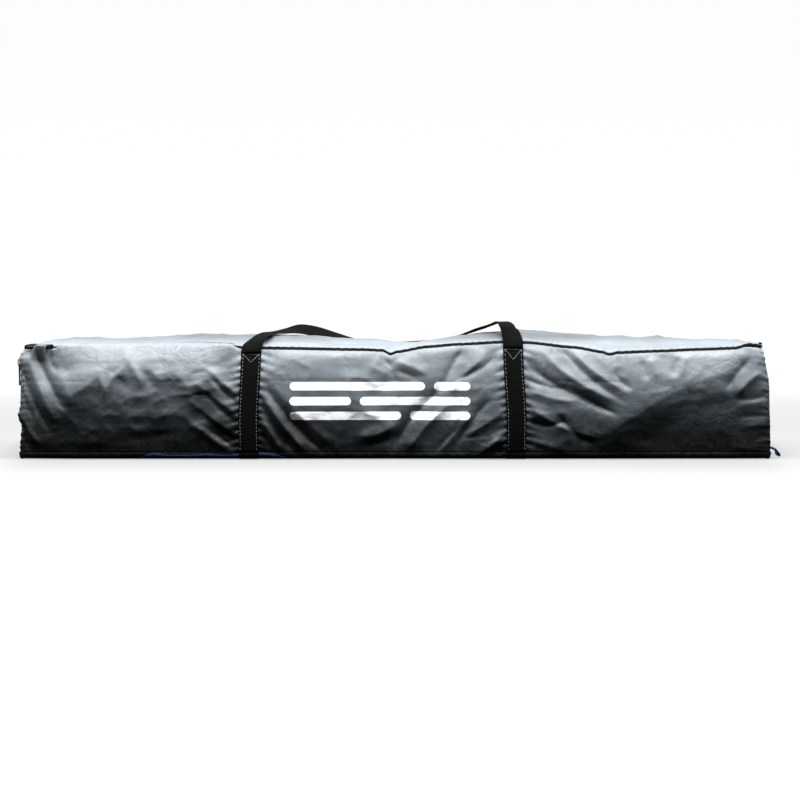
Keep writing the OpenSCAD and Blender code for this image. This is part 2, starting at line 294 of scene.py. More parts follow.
# Folds of the back, by (x, z)
BACK_FOLDS = [
    (-590, 160, -520, 50, 10, 6, 4),
    (-570, 168, -500, 70, 9, -6.4, 4),
    (-520, 60, -300, 140, 28, 6, -10),
    (-330, 110, -252, 40, 7, 4.4, 3),
    (-320, 90, -252, 22, 6, -4.4, 3),
    (-216, 120, -120, 10, 8, 5, 4),
    (-216, 96, -150, 6, 6, -4.8, 3),
    (-90, 150, 60, 70, 16, 4, 10),
    (0, 30, 90, 110, 9, -5.2, -6),
    (80, 20, 176, 100, 8, 4.6, -4),
    (212, 140, 340, 60, 9, -6.8, 6),
    (212, 100, 320, 30, 10, 5.8, 6),
    (340, 40, 560, 140, 28, 5.6, -12),
    (520, 120, 580, 160, 9, -4.8, -4),
    (540, 80, 596, 90, 8, 4, 0),
]
# Folds of both ends, by (y, z)
END_FOLDS = [
    (-70, 150, 60, 60, 14, 4, 10),
    (-60, 110, 20, 30, 12, -4, 6),
    (80, 160, 20, 80, 10, -3.4, 0),
    (-40, 50, 70, 30, 12, 3.4, 4),
    (85, 110, 40, 50, 8, 3, 4),
]


def folds(u, v, table):
    """Adds up ridges and valleys that each run along a slightly bowed line and fade at both ends."""
    total = np.zeros_like(u)
    for row in table:
        u0, v0, u1, v1, width, height, bow = (value / 1000 for value in row)
        du, dv = u1 - u0, v1 - v0
        length = math.hypot(du, dv)
        t = ((u - u0) * du + (v - v0) * dv) / length**2
        side = ((v - v0) * du - (u - u0) * dv) / length + 4 * bow * t * (1 - t)
        total += 1.12 * height * between(t, -0.12, 0.22, 0.74, 1.12) * np.exp(-np.abs(side / width) ** 1.28)
    return total


def strap_hold(x):
    """1 away from the straps, 0 where a strap holds the cloth flat."""
    hold = np.ones_like(x)
    for centre in STRAP_X:
        hold *= smooth(0, 0.013, np.abs(x - centre) - WEB_W / 2 + 0.002)
    return hold


def strap_puckers(x, v):
    """Short puckers square to the straps' stitched edges."""
    total = np.zeros_like(x)
    pitch = 0.0128
    for k, centre in enumerate(STRAP_X):
        for side in (-1, 1):
            away = side * (x - centre) - WEB_W / 2
            reach = 0.016 + 0.007 * line_noise(v, 0.021, 11 + 2 * k + side)
            phase = v / pitch + 0.30 * away / pitch + 0.35 * line_noise(v, 0.03, 21 + 2 * k + side)
            wave = np.abs(np.sin(math.pi * phase)) * 2 - 1.1
            total += 0.0016 * wave * (away > -0.002) * np.exp(-np.maximum(away, 0) / reach * 1.6)
    return total


def edge_puckers(along, away, pitch, reach, height, seed):
    """Puckers square to a seam, fading with the distance away from it."""
    phase = along / pitch + 0.4 * line_noise(along, pitch * 2.3, seed)
    wave = np.sin(2 * math.pi * phase) * (0.65 + 0.35 * line_noise(along, pitch * 1.7, seed + 1))
    return height * wave * np.exp(-np.maximum(away, 0) / reach)


def rounded(y, z):
    """Points of the sharp box section moved onto its rounded outline, and their outward normals."""
    r = np.where(z > HEIGHT / 2, TOP_R, BASE_R)
    cy = np.clip(y, -(HALF_D - r), HALF_D - r)
    cz = np.clip(z, r, HEIGHT - r)
    dy, dz = y - cy, z - cz
    size = np.maximum(np.hypot(dy, dz), 1e-9)
    ny, nz = dy / size, dz / size
    return cy + r * ny, cz + r * nz, ny, nz


ZIP_BAND = 0.179  # height of the band that wanders with the zip line


def end_lean(side, z, foot=1.0):
    """How far out an end stands at height z; its top leans in and its foot out."""
    top = np.where(side > 0, smooth(0.11, 0.185, z), smooth(0.166, 0.190, z))
    return -0.012 * top + 0.003 * smooth(0.12, 0.0, z) * foot


def filled(px, py, pz, edge):
    """The shell without its folds: a low belly, a crown domed by the contents, the zip line and leaning ends."""
    across = py / HALF_D
    level = np.clip(pz / HEIGHT, 0, 1)
    inside = smooth(0, 0.10, edge)
    belly = np.sin(math.pi * (0.12 + 0.88 * level) ** 0.75)
    bulge = (0.0122 - 0.004 * (across > 0)) * belly * (0.45 + 0.55 * inside)
    bulge = bulge + 0.0035 * belly * noise(px, np.sign(across), 0.16, 1)
    lean_in = 0.004 * smooth(0.62, 0.97, level) * inside
    qy = py + np.sign(across) * (np.abs(across) ** 1.5 * bulge - across**2 * lean_in)
    front_zone = smooth(0.55, 0.98, -across)
    dome = -2.3 * np.maximum(py - 0.002, 0) ** 2 - 0.5 * np.maximum(-py - 0.03, 0) ** 2
    settle = smooth(0.45, 1.0, level) * (eased(px, CROWN) - HEIGHT + dome)
    held = front_zone * smooth(0.200, 0.182, pz)
    qz = pz + settle * (1 - held) + front_zone * (bell(pz, ZIP_BAND, 0.028) * eased(px, ZIP_WAVE))

    # On the left the front rolls over the zip, opens for the slider, and leans back below the roll
    front_side = smooth(0.2, 0.8, -across)
    roll = between(px, -0.586, -0.570, -0.270, -0.248) * front_side
    roll = roll * (1 - 0.75 * bell(px, -0.547, 0.0075))
    qz = qz + roll * 0.0125 * bell(pz, 0.1705, 0.0060)
    qy = qy + roll * (-0.0040 * bell(pz, 0.1700, 0.0090) + 0.0050 * bell(pz, 0.1800, 0.0036))
    lean_back = between(px, -0.575, -0.455, -0.335, -0.248) * front_side
    qy = qy + lean_back * (0.0035 * smooth(0.130, 0.160, pz) + 0.0135 * smooth(0.156, 0.174, pz))
    over_slider = between(px, -0.586, -0.574, -0.560, -0.548) * front_zone
    qy = qy - over_slider * 0.0060 * bell(pz, 0.1710, 0.0095)

    sway = 0.0048 * bell(px, STRAP_X[0], 0.10) - 0.0058 * bell(px, STRAP_X[1], 0.10)
    sway = sway * smooth(0.055, 0.175, pz) * smooth(0.2, 0.9, -across)
    lean = np.where(px > 0, 1, -1) * end_lean(px, pz)
    return px + lean * smooth(0.10, 0.0, edge) + sway, qy, qz


def relief(px, py, pz, ny, nz, edge):
    """The height of folds and puckers, held back by the zip, the straps, the base and the end seams."""
    front_w, back_w, top_w = np.maximum(-ny, 0) ** 2, np.maximum(ny, 0) ** 2, np.maximum(nz, 0) ** 2
    sides = front_w + back_w
    shape = folds(px, pz, FRONT_FOLDS) * front_w + folds(px, pz, BACK_FOLDS) * back_w
    shape = shape + folds(px, py, TOP_FOLDS) * top_w

    # The ridge across the left of the front and the crumpled cloth round it
    above = pz - eased(px, LEFT_RIDGE)
    ridge = np.exp(-np.abs(above / np.where(above > 0, 0.042, 0.017)) ** 1.25)
    left_body = between(px, -0.555, -0.520, -0.300, -0.262) * front_w
    crumple = crease_noise(px + 0.4 * pz, 1.5 * pz, 0.046, 12) + 0.3 * crease_noise(px, 1.5 * pz, 0.021, 14)
    shape = shape + 0.0068 * ridge * left_body
    shape = shape + 0.0013 * crumple * left_body * between(pz, 0.015, 0.055, 0.135, 0.165)

    # Creases everywhere, and the level line where the cloth was folded in its box
    down = pz + py
    shape = shape + 0.0011 * crease_noise(px, down, 0.050, 3) + 0.0005 * crease_noise(px, down, 0.021, 4)
    shape = shape + 0.0016 * noise(px, down, 0.07, 5)
    fold_line = bell(pz, 0.1255 + 0.0012 * line_noise(px, 0.2, 8), 0.0013)
    fold_line = fold_line * smooth(0.1, 0.5, line_noise(px, 0.11, 9) + 0.35)
    shape = shape - 0.0007 * fold_line * sides

    strap = strap_hold(px)
    hold = strap * sides + (1 - front_w - back_w)
    zip_away = np.where(py < 0, np.hypot(pz - ZIP_BAND, 0.6 * np.maximum(py + 0.097, 0)), 1)
    low = smooth(0.0, 0.02, pz)
    f = shape * hold * (smooth(0.0015, 0.016, zip_away) * smooth(0.0, 0.030, pz))
    f = f + strap_puckers(px, pz) * sides * smooth(0.178, 0.165, pz) * low
    f = f + edge_puckers(down, edge, 0.0102, 0.009, 0.0013, 31) * low
    f = f - 0.0014 * bell(edge, 0.0035, 0.0016) * low
    f = f + edge_puckers(px, zip_away - 0.004, 0.0115, 0.008, 0.0008, 41) * (zip_away < 0.03) * strap
    f = f + edge_puckers(px, pz - FOLD_Z, 0.019, 0.012, 0.0011, 51) * front_w * hold * low
    return np.where(nz < -0.5, np.minimum(f, 0) * 0.2, f)


def tube(x, y, z, rise=0.0):
    """Where a point of the sharp box's long sides lies on the filled, folded cloth, rise metres outside it."""
    x, y, z = (np.array(a, float) for a in np.broadcast_arrays(x, y, z))
    sy, sz, ny, nz = rounded(y, z)
    edge = HALF_L - np.abs(x)
    turn = math.pi / 4 * np.clip(1 - edge / END_R, 0, 1)
    pull = END_R * (1 - np.cos(turn))
    py, pz = sy - ny * pull, sz - nz * pull
    px = np.where(turn > 0, np.sign(x) * (HALF_L - END_R + END_R * np.sin(turn)), x)
    qx, qy, qz = filled(px, py, pz, edge)
    f = relief(px, py, pz, ny, nz, edge) + rise
    nx = np.sign(x) * np.sin(turn)
    ny, nz = ny * np.cos(turn), nz * np.cos(turn)
    return np.stack([qx + f * nx, qy + f * ny, np.maximum(qz + f * nz, 0.0002)], axis=-1)


def end_cap(side, y, z, rise=0.0):
    """The same for a point of a sharp box's end; side is -1 at the left and 1 at the right."""
    y, z = (np.array(a, float) for a in np.broadcast_arrays(y, z))
    middle = HEIGHT / 2
    share = np.maximum(np.maximum(np.abs(y) / HALF_D, np.abs(z - middle) / middle), 1e-6)
    rim = tube(side * HALF_L, y / share, middle + (z - middle) / share)
    centre = np.array([0, 0, 0.094])
    p = centre + share[..., None] * (rim - centre)
    inner = 1 - share
    reach = inner * HALF_D
    out = smooth(0, END_R, reach)
    # The left end stays straight beside the zip's leg, where the slider runs
    from_leg = np.abs(y - LEG_Y)
    plane_x = HALF_L + end_lean(side, z, smooth(0.012, 0.034, from_leg) if side < 0 else 1.0)
    shape = folds(y * side, z, END_FOLDS) + 0.0007 * crease_noise(y + 3 * side, z, 0.045, 6)
    shape = shape + 0.004 * smooth(0, 0.6, inner)
    seam = edge_puckers(z + y, reach, 0.0102, 0.009, 0.0012, 31)
    x = side * (plane_x + (shape * smooth(0.001, 0.014, from_leg) + seam) * out + rise)
    p[..., 0] = p[..., 0] * (1 - out) + x * out + side * rise * (1 - out)
    return p


# ---------------------------------------------------------------- mesh helpers
def new_object(name, points, faces):
    mesh = bpy.data.meshes.new(name)
    mesh.from_pydata([tuple(p) for p in points], [], [tuple(int(i) for i in f) for f in faces])
    mesh.update()
    mesh.shade_smooth()
    return add_object(name, mesh)


def grid_faces(rows, columns, closed=False):
    """Quads over a grid of points; closed joins the last column to the first."""
    r, c = np.meshgrid(np.arange(rows - 1), np.arange(columns - (not closed)), indexing="ij")
    a = (r * columns + c).ravel()
    b = (r * columns + (c + 1) % columns).ravel()
    return np.stack([a, b, b + columns, a + columns], axis=1)


def grid_object(name, points, flip=False):
    rows, columns = points.shape[:2]
    faces = grid_faces(rows, columns)
    if flip:
        faces = faces[:, ::-1]
    return new_object(name, points.reshape(-1, 3), faces)


def thicken(obj, thickness=CLOTH_T, offset=-1):
    """Gives a sheet its thickness, all of it on the inside unless offset says otherwise."""
    solid = obj.modifiers.new("thickness", "SOLIDIFY")
    solid.thickness = thickness
    solid.offset = offset
    return obj


def cloth_panel(name, points, outward, material):
    """A sheet from a grid of points; outward is roughly the way it faces."""
    middle = points[points.shape[0] // 2, points.shape[1] // 2]
    row = points[points.shape[0] // 2 + 1, points.shape[1] // 2] - middle
    column = points[points.shape[0] // 2, points.shape[1] // 2 + 1] - middle
    obj = grid_object(name, points, flip=np.dot(np.cross(column, row), outward) < 0)
    return dress(thicken(obj), material)


def finish_piece(obj, body, slot, *nodes):
    """What a piece that moves with one body needs: the body and the nodes it stands for; its slot is not used."""
    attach(obj, body)
    if nodes:
        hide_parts(*nodes)
    return obj


def finish_front(obj, node):
    """For a piece of the front: hides the node it stands for and bakes its place into its points."""
    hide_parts(node)
    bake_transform(obj)
    return obj


def dress(obj, material):
    obj.data.materials.clear()
    obj.data.materials.append(material)
    return obj


# ---------------------------------------------------------------- materials
def shader(name, color, roughness, **sockets):
    """A material with its Principled shader's own sockets set; returns it, its place, axes, maths and shader."""
    material = bpy.data.materials.new(name)
    material.use_nodes = True
    principled = material.node_tree.nodes["Principled BSDF"]
    principled.inputs["Base Color"].default_value = (*color, 1)
    principled.inputs["Roughness"].default_value = roughness
    for socket, value in sockets.items():
        principled.inputs[socket.replace("_", " ")].default_value = value
    place, axes = object_axes(material)
    return material, place, axes, partial(math_node, material), principled


def link(material, a, b):
    material.node_tree.links.new(a, b)


def math_node(material, kind, a, b=None, clamp=False):
    """A Math node on sockets or numbers."""
    node = material.node_tree.nodes.new("ShaderNodeMath")
    node.operation = kind
    node.use_clamp = clamp
    for socket, value in zip(node.inputs, (a, b)):
        if value is None:
            continue
        if isinstance(value, (int, float)):
            socket.default_value = value
        else:
            link(material, value, socket)
    return node.outputs[0]


def object_axes(material):
    """The object's own coordinates, whole and as three numbers."""
    coords = material.node_tree.nodes.new("ShaderNodeTexCoord")
    split = material.node_tree.nodes.new("ShaderNodeSeparateXYZ")
    link(material, coords.outputs["Object"], split.inputs[0])
    return coords.outputs["Object"], split.outputs


def noise_node(material, vector, scale, detail=3.0, rough=0.5, stretch=None):
    """A noise texture, its place stretched where asked."""
    nodes = material.node_tree.nodes
    if stretch is not None:
        mapping = nodes.new("ShaderNodeMapping")
        mapping.inputs["Scale"].default_value = stretch
        link(material, vector, mapping.inputs["Vector"])
        vector = mapping.outputs["Vector"]
    node = nodes.new("ShaderNodeTexNoise")
    node.inputs["Scale"].default_value = scale
    node.inputs["Detail"].default_value = detail
    node.inputs["Roughness"].default_value = rough
    link(material, vector, node.inputs["Vector"])
    return node.outputs["Fac"]


def ramp(material, value, stops):
    """A colour picked by value from stops of (place, colour)."""
    node = material.node_tree.nodes.new("ShaderNodeValToRGB")
    elements = node.color_ramp.elements
    for element, (place, color) in zip(elements, (stops[0], stops[-1])):
        element.position, element.color = place, (*color, 1)
    for place, color in stops[1:-1]:
        elements.new(place).color = (*color, 1)
    link(material, value, node.inputs[0])
    return node.outputs["Color"]


def bump(material, principled, height, strength, distance, below=None):
    """Bends the shading by a height, on top of an earlier bump if one is given."""
    node = material.node_tree.nodes.new("ShaderNodeBump")
    node.inputs["Strength"].default_value = strength
    node.inputs["Distance"].default_value = distance
    link(material, height, node.inputs["Height"])
    if below is not None:
        link(material, below, node.inputs["Normal"])
    link(material, node.outputs["Normal"], principled.inputs["Normal"])
    return node.outputs["Normal"]


def thread_waves(material, axes, pitch):
    """Over and under threads of a plain weave, from three axes so it shows on any face."""
    calc = partial(math_node, material)
    x, y, z = (calc("SINE", calc("MULTIPLY", axis, 2 * math.pi / pitch)) for axis in axes)
    pairs = [calc("MULTIPLY", a, b) for a, b in ((x, y), (x, z), (y, z))]
    return calc("ADD", calc("ADD", pairs[0], pairs[1]), pairs[2])


def crease_node(material, place):
    """Thin creases between flatter facets, at two sizes, broken up so that some areas stay smooth."""
    calc = partial(math_node, material)
    nodes = material.node_tree.nodes
    warp = nodes.new("ShaderNodeTexNoise")
    warp.inputs["Scale"].default_value = 14
    warp.inputs["Detail"].default_value = 3
    link(material, place, warp.inputs["Vector"])
    shift = nodes.new("ShaderNodeVectorMath")
    shift.operation = "MULTIPLY_ADD"
    shift.inputs[1].default_value = (0.075, 0.075, 0.075)
    link(material, warp.outputs["Color"], shift.inputs[0])
    link(material, place, shift.inputs[2])
    total = None
    for scale, weight, patch in ((17, 1.0, 6.0), (41, 0.55, 9.0)):
        cells = nodes.new("ShaderNodeTexVoronoi")
        cells.feature = "DISTANCE_TO_EDGE"
        cells.inputs["Scale"].default_value = scale
        link(material, shift.outputs[0], cells.inputs["Vector"])
        ridge = calc("MULTIPLY", calc("POWER", cells.outputs["Distance"], 0.5), weight)
        where = noise_node(material, place, patch, 2, 0.5)
        where = calc("MULTIPLY", calc("SUBTRACT", where, 0.40), 6.0, clamp=True)
        part = calc("MULTIPLY", ridge, where)
        total = part if total is None else calc("ADD", total, part)
    return total


def mix_colors(material, kind, factor, a, b):
    """Two colours multiplied or mixed; factor, a and b are sockets or plain values."""
    node = material.node_tree.nodes.new("ShaderNodeMix")
    node.data_type, node.blend_type = "RGBA", kind
    for name, value in (("Factor", factor), ("A", a), ("B", b)):
        if isinstance(value, bpy.types.NodeSocket):
            link(material, value, node.inputs[name])
        else:
            node.inputs[name].default_value = value
    return node.outputs["Result"]


EVEN = [(0.0, (1, 1, 1)), (1.0, (1, 1, 1))]
# Painted light and shade on the cloth by height, in steps of 0.2 m: nearly black at the foot, pale towards the top
PAINTED_LIGHT_BY_HEIGHT = [
    (0.000, (0.045, 0.054, 0.056)),
    (0.050, (0.030, 0.036, 0.038)),
    (0.075, (0.011, 0.015, 0.016)),
    (0.20, (0.017, 0.023, 0.024)),
    (0.33, (0.034, 0.045, 0.047)),
    (0.45, (0.16, 0.18, 0.19)),
    (0.60, (0.48, 0.505, 0.515)),
    (0.74, (0.70, 0.715, 0.72)),
    (0.86, (0.93, 0.93, 0.93)),
    (0.92, (0.88, 0.88, 0.88)),
    (0.97, (0.45, 0.45, 0.45)),
]


def tone_level(calc, axes):
    """Height in steps of 0.2 m for the painted light and shade, raised a little low down round the middle of the
    length to paint more light there.
    """
    along = calc("MULTIPLY", calc("SUBTRACT", axes[0], 0.12), 3.4)
    window = calc("SUBTRACT", 1.0, calc("MULTIPLY", along, along))
    height = calc("MULTIPLY", axes[2], 5.0)
    low_part = calc("MAXIMUM", calc("SUBTRACT", 0.60, height), 0.0)
    lift = calc("MULTIPLY", calc("MAXIMUM", window, 0.0), 0.62)
    return calc("ADD", height, calc("MULTIPLY", lift, low_part))


def coated_cloth(name, dark, light, roughness, printed=False, fading=EVEN, gloss=0.42):
    """Coated nylon: fine weave, crinkles, streaky dye, a satin coat, and painted light and shade by height in its
    colour.
    """
    material, place, axes, calc, principled = shader(
        name, light, roughness, Specular_IOR_Level=gloss, Sheen_Weight=gloss / 5, Sheen_Roughness=0.35,
        Sheen_Tint=(0.80, 0.90, 1.0, 1), Coat_Weight=0.08, Coat_Roughness=0.40,
    )
    crinkle = noise_node(material, place, 130, 6, 0.62)
    weave = thread_waves(material, axes, 0.0011)
    streaks = noise_node(material, place, 30, 4, 0.6, stretch=(0.35, 1, 1.6))
    color = ramp(material, streaks, [(0.30, dark), (0.72, light)])
    # The fading ramp paints light and shade into the colour: dark at the foot, pale towards the top.
    color = mix_colors(material, "MULTIPLY", 1, color, ramp(material, tone_level(calc, axes), fading))
    if printed:
        color = mix_colors(material, "MIX", print_mask(material, axes), color, (0.90, 0.91, 0.92, 1))
    link(material, color, principled.inputs["Base Color"])
    rough = ramp(material, crinkle, [(0.25, (roughness - 0.07,) * 3), (0.80, (roughness + 0.09,) * 3)])
    link(material, rough, principled.inputs["Roughness"])
    first = bump(material, principled, crease_node(material, place), 0.44, 0.0026)
    second = bump(material, principled, crinkle, 0.40, 0.0018, below=first)
    bump(material, principled, weave, 0.22, 0.00018, below=second)
    return material


def bar_mask(calc, axes, x0, x1, z0, z1):
    """1 inside a bar with round ends."""
    radius = (z1 - z0) / 2
    along = calc("SUBTRACT", axes[0], (x0 + x1) / 2)
    past = calc("SUBTRACT", calc("ABSOLUTE", along), (x1 - x0) / 2 - radius)
    up = calc("SUBTRACT", axes[2], (z0 + z1) / 2)
    far = calc("ADD", calc("POWER", calc("MAXIMUM", past, 0.0), 2.0), calc("POWER", calc("ABSOLUTE", up), 2.0))
    return calc("MULTIPLY", calc("SUBTRACT", radius, calc("SQRT", far)), 3000.0, clamp=True)


# Plain printed bars: low x, high x, low z, high z
PRINT_BARS = [
    (-0.168, 0.048, 0.1105, 0.1240), (0.062, 0.120, 0.1105, 0.1240),
    (-0.168, -0.070, 0.0870, 0.1005), (-0.056, 0.120, 0.0870, 0.1005),
    (-0.168, 0.010, 0.0635, 0.0770), (0.024, 0.120, 0.0635, 0.0770),
]


def print_mask(material, axes):
    """The plain white bars printed on the front."""
    calc = partial(math_node, material)
    mask = None
    for bar in PRINT_BARS:
        part = bar_mask(calc, axes, *bar)
        mask = part if mask is None else calc("MAXIMUM", mask, part)
    return calc("MULTIPLY", mask, calc("LESS_THAN", axes[1], -0.06))


def webbing_material(name, color, light):
    """Flat woven webbing: bold ribs across the width, fine fuzz and faint blotches."""
    material, place, axes, _, principled = shader(name, color, 0.85, Specular_IOR_Level=0.07)
    blotch = noise_node(material, place, 26, 3, 0.5)
    link(material, ramp(material, blotch, [(0.3, color), (0.75, light)]), principled.inputs["Base Color"])
    first = bump(material, principled, noise_node(material, place, 900, 3, 0.6), 0.5, 0.0004)
    bump(material, principled, thread_waves(material, axes, 0.0026), 0.55, 0.0004, below=first)
    return material


def plain_material(name, color, light, roughness, metallic=0.0, **sockets):
    """Moulded or coated hard finish: faint grain, patchy gloss and a little colour drift."""
    material, place, _, _, principled = shader(name, color, roughness, Metallic=metallic, **sockets)
    grain = 400
    fine = noise_node(material, place, grain, 4, 0.6)
    wide = noise_node(material, place, grain / 12, 3, 0.5)
    link(material, ramp(material, wide, [(0.3, color), (0.75, light)]), principled.inputs["Base Color"])
    low, high = max(roughness - 0.10, 0.05), min(roughness + 0.12, 1)
    link(material, ramp(material, fine, [(0.3, (low,) * 3), (0.75, (high,) * 3)]), principled.inputs["Roughness"])
    bump(material, principled, fine, 0.25, 0.0002)
    return material


def cord_material(name):
    """Braided navy cord with one black tracer."""
    material, _, axes, calc, principled = shader(name, (0.01, 0.03, 0.12), 0.6, Specular_IOR_Level=0.4)
    slant = calc("ADD", axes[0], calc("MULTIPLY", axes[2], 1.4))
    slant = calc("ADD", slant, calc("MULTIPLY", axes[1], 0.7))
    wave = calc("SINE", calc("MULTIPLY", slant, 2 * math.pi / 0.0052))
    tracer = ramp(material, wave, [(0.55, (0.012, 0.040, 0.16)), (0.80, (0.006, 0.006, 0.008))])
    link(material, tracer, principled.inputs["Base Color"])
    bump(material, principled, thread_waves(material, axes, 0.0013), 0.6, 0.0004)
    return material


def thread_material(name):
    """Pale grey sewing thread with a faint twist."""
    material, place, _, _, principled = shader(name, (0.20, 0.22, 0.23), 0.6, Specular_IOR_Level=0.3)
    twist = noise_node(material, place, 2500, 2, 0.5, stretch=(1, 1, 0.4))
    color = ramp(material, twist, [(0.3, (0.12, 0.135, 0.145)), (0.7, (0.26, 0.285, 0.295))])
    link(material, color, principled.inputs["Base Color"])
    return material


CLOTH_DARK, CLOTH_LIGHT = (0.166, 0.187, 0.205), (0.235, 0.260, 0.281)
# Both cloths carry painted light and shade by height in their colour.
CLOTH, CLOTH_PRINTED = (
    coated_cloth(name, CLOTH_DARK, CLOTH_LIGHT, 0.46, printed=printed, fading=PAINTED_LIGHT_BY_HEIGHT)
    for name, printed in (("coated_cloth", False), ("coated_cloth_printed", True))
)
WEBBING = webbing_material("webbing", (0.0006, 0.0007, 0.0008), (0.0015, 0.0017, 0.0018))
BINDING = webbing_material("binding", (0.005, 0.0055, 0.006), (0.011, 0.012, 0.013))
ZIP_TAPE = webbing_material("zip_tape", (0.003, 0.003, 0.0035), (0.007, 0.007, 0.0075))
COIL = plain_material("zip_coil", (0.003, 0.003, 0.0035), (0.007, 0.007, 0.0075), 0.5, Specular_IOR_Level=0.15)
METAL = plain_material("black_slider_metal", (0.020, 0.020, 0.022), (0.045, 0.045, 0.048), 0.34, metallic=0.75)
CORD = cord_material("navy_cord")
NAVY = coated_cloth("navy_cloth", (0.0015, 0.0075, 0.038), (0.0030, 0.0160, 0.075), 0.60, gloss=0.15)
POLE = plain_material("powder_coated_pole", (0.42, 0.43, 0.45), (0.52, 0.53, 0.55), 0.36, metallic=0.2)
CAP = plain_material("moulded_cap", (0.010, 0.010, 0.011), (0.020, 0.020, 0.021), 0.5)
THREAD = thread_material("stitching_thread")


# ---------------------------------------------------------------- cloth panels
FINE = 0.0024  # mesh spacing on the cloth
COARSE = 0.0045


def spaced(a, b, step):
    """Points from a to b, about step apart."""
    return np.linspace(a, b, max(2, round(abs(b - a) / step) + 1))


TUBE_X = np.concatenate([
    spaced(-HALF_L, -HALF_L + END_R, 0.0015)[:-1],
    spaced(-HALF_L + END_R, HALF_L - END_R, FINE),
    spaced(HALF_L - END_R, HALF_L, 0.0015)[1:],
])


def front_panel():
    """The drop-down front with its narrow return round each end."""
    z = spaced(FOLD_Z, ZIP_Z - ZIP_GAP, FINE)
    returns = spaced(LEG_Y - ZIP_GAP, -HALF_D, 0.0018)[:-1]
    zz, xx = np.meshgrid(z, TUBE_X, indexing="ij")
    droop = 0.0026 * smooth(0.140, z[-1], z)[:, None]  # shows more of the zip at the right corner
    face = tube(xx, -HALF_D, zz - droop * smooth(0.560, 0.576, xx))
    zr, yr = np.meshgrid(z, returns, indexing="ij")
    left = end_cap(-1, yr, zr)
    right = end_cap(1, yr[:, ::-1], zr - droop)
    points = np.concatenate([left, face, right], axis=1)
    finish_front(cloth_panel("front_cloth", points, (0, -1, 0), CLOTH_PRINTED), "front_panel")


def section_path(name):
    """Sharp-box (y, z) points down one panel of the tube, and how far each is lifted where seams lap."""
    if name == "top":
        front_rise = [(-HALF_D, z, 0) for z in spaced(ZIP_Z + ZIP_GAP, HEIGHT, FINE)[:-1]]
        across = [(y, HEIGHT, 0) for y in spaced(-HALF_D, HALF_D, FINE)]
        down = [(HALF_D, z, 0) for z in spaced(HEIGHT, ZIP_Z + 0.002, FINE)[1:]]
        return front_rise + across + down + [(HALF_D, ZIP_Z, 0.0012), (HALF_D, ZIP_Z - 0.004, 0.0013)]
    if name == "back":
        return [(HALF_D, z, 0) for z in spaced(ZIP_Z + 0.003, FOLD_Z - 0.002, FINE)]
    down = [(HALF_D, FOLD_Z + 0.004, 0.0013), (HALF_D, FOLD_Z + 0.001, 0.0012)]
    down += [(HALF_D, z, 0) for z in spaced(FOLD_Z - 0.001, 0, FINE)[:-1]]
    across = [(y, 0.0, 0) for y in spaced(HALF_D, -HALF_D, COARSE)]
    up = [(-HALF_D, z, 0) for z in spaced(0, FOLD_Z, FINE)[1:]]
    return down + across + up + [(-HALF_D, FOLD_Z + 0.002, -0.0014)]


def tube_panel(name, outward, node):
    """One of the sewn panels round the bag's long sides, apart from the front."""
    path = np.array(section_path(name))
    xx = np.broadcast_to(TUBE_X, (len(path), len(TUBE_X)))
    yy, zz, lift = (np.broadcast_to(path[:, k:k + 1], xx.shape) for k in range(3))
    obj = cloth_panel(name + "_cloth", tube(xx, yy, zz, lift), outward, CLOTH)
    finish_piece(obj, "bag", "cloth", node)


def end_panel(side, node):
    """An end, as one sheet; its front edge stops at the zip leg except above and below the leg."""
    y = np.concatenate([spaced(-HALF_D, LEG_Y + ZIP_GAP, 0.0018), spaced(LEG_Y + ZIP_GAP, HALF_D, 0.0026)[1:]])
    z = np.concatenate([
        spaced(0, FOLD_Z, 0.0018)[:-1],
        spaced(FOLD_Z, ZIP_Z + ZIP_GAP, 0.0026),
        spaced(ZIP_Z + ZIP_GAP, HEIGHT, 0.0018)[1:],
    ])
    zz, yy = np.meshgrid(z, y, indexing="ij")
    points = end_cap(side, yy, zz)
    faces = grid_faces(len(z), len(y))
    middle_y = yy.ravel()[faces].mean(1)
    middle_z = zz.ravel()[faces].mean(1)
    cut = (middle_y < LEG_Y + ZIP_GAP) & (middle_z > FOLD_Z) & (middle_z < ZIP_Z + ZIP_GAP)
    faces = faces[~cut]
    if side < 0:
        faces = faces[:, ::-1]
    used, new = np.unique(faces, return_inverse=True)
    obj = new_object(node.replace("_panel", "_cloth"), points.reshape(-1, 3)[used], new.reshape(-1, 4))
    finish_piece(dress(thicken(obj), CLOTH), "bag", "cloth", node)


front_panel()
tube_panel("top", (0, 0, 1), "top_panel")
tube_panel("back", (0, 1, 0), "back_panel")
tube_panel("base", (0, 0, -1), "bottom_panel")
end_panel(-1, "left_end_panel")
end_panel(1, "right_end_panel")


# ---------------------------------------------------------------- lofts and webbing
def loft(name, rings, flip=False, capped=True):
    """A closed tube through rings of points, shape (rings, points round, 3), with its ends filled."""
    n, m = rings.shape[:2]
    faces = [tuple(f) for f in grid_faces(n, m, closed=True)]
    if capped:
        faces += [tuple(range(m))[::-1], tuple(range((n - 1) * m, n * m))]
    if flip:
        faces = [f[::-1] for f in faces]
    return new_object(name, rings.reshape(-1, 3), faces)


def webbing_section(width, thick):
    """(across, up) round a webbing's cross-section, its two edges rounded, from the low left corner."""
    half, r, across = width / 2, thick / 2, 13
    turn = np.linspace(-math.pi / 2, math.pi / 2, 5)
    low = [(u, 0.0) for u in np.linspace(-half + r, half - r, across)[:-1]]
    right = [(half - r + r * math.cos(a), r + r * math.sin(a)) for a in turn]
    high = [(u, thick) for u in np.linspace(half - r, -half + r, across)[1:-1]]
    left = [(-half + r - r * math.cos(a), r + r * math.sin(a)) for a in turn[::-1]]
    return np.array(low + right + high + left)


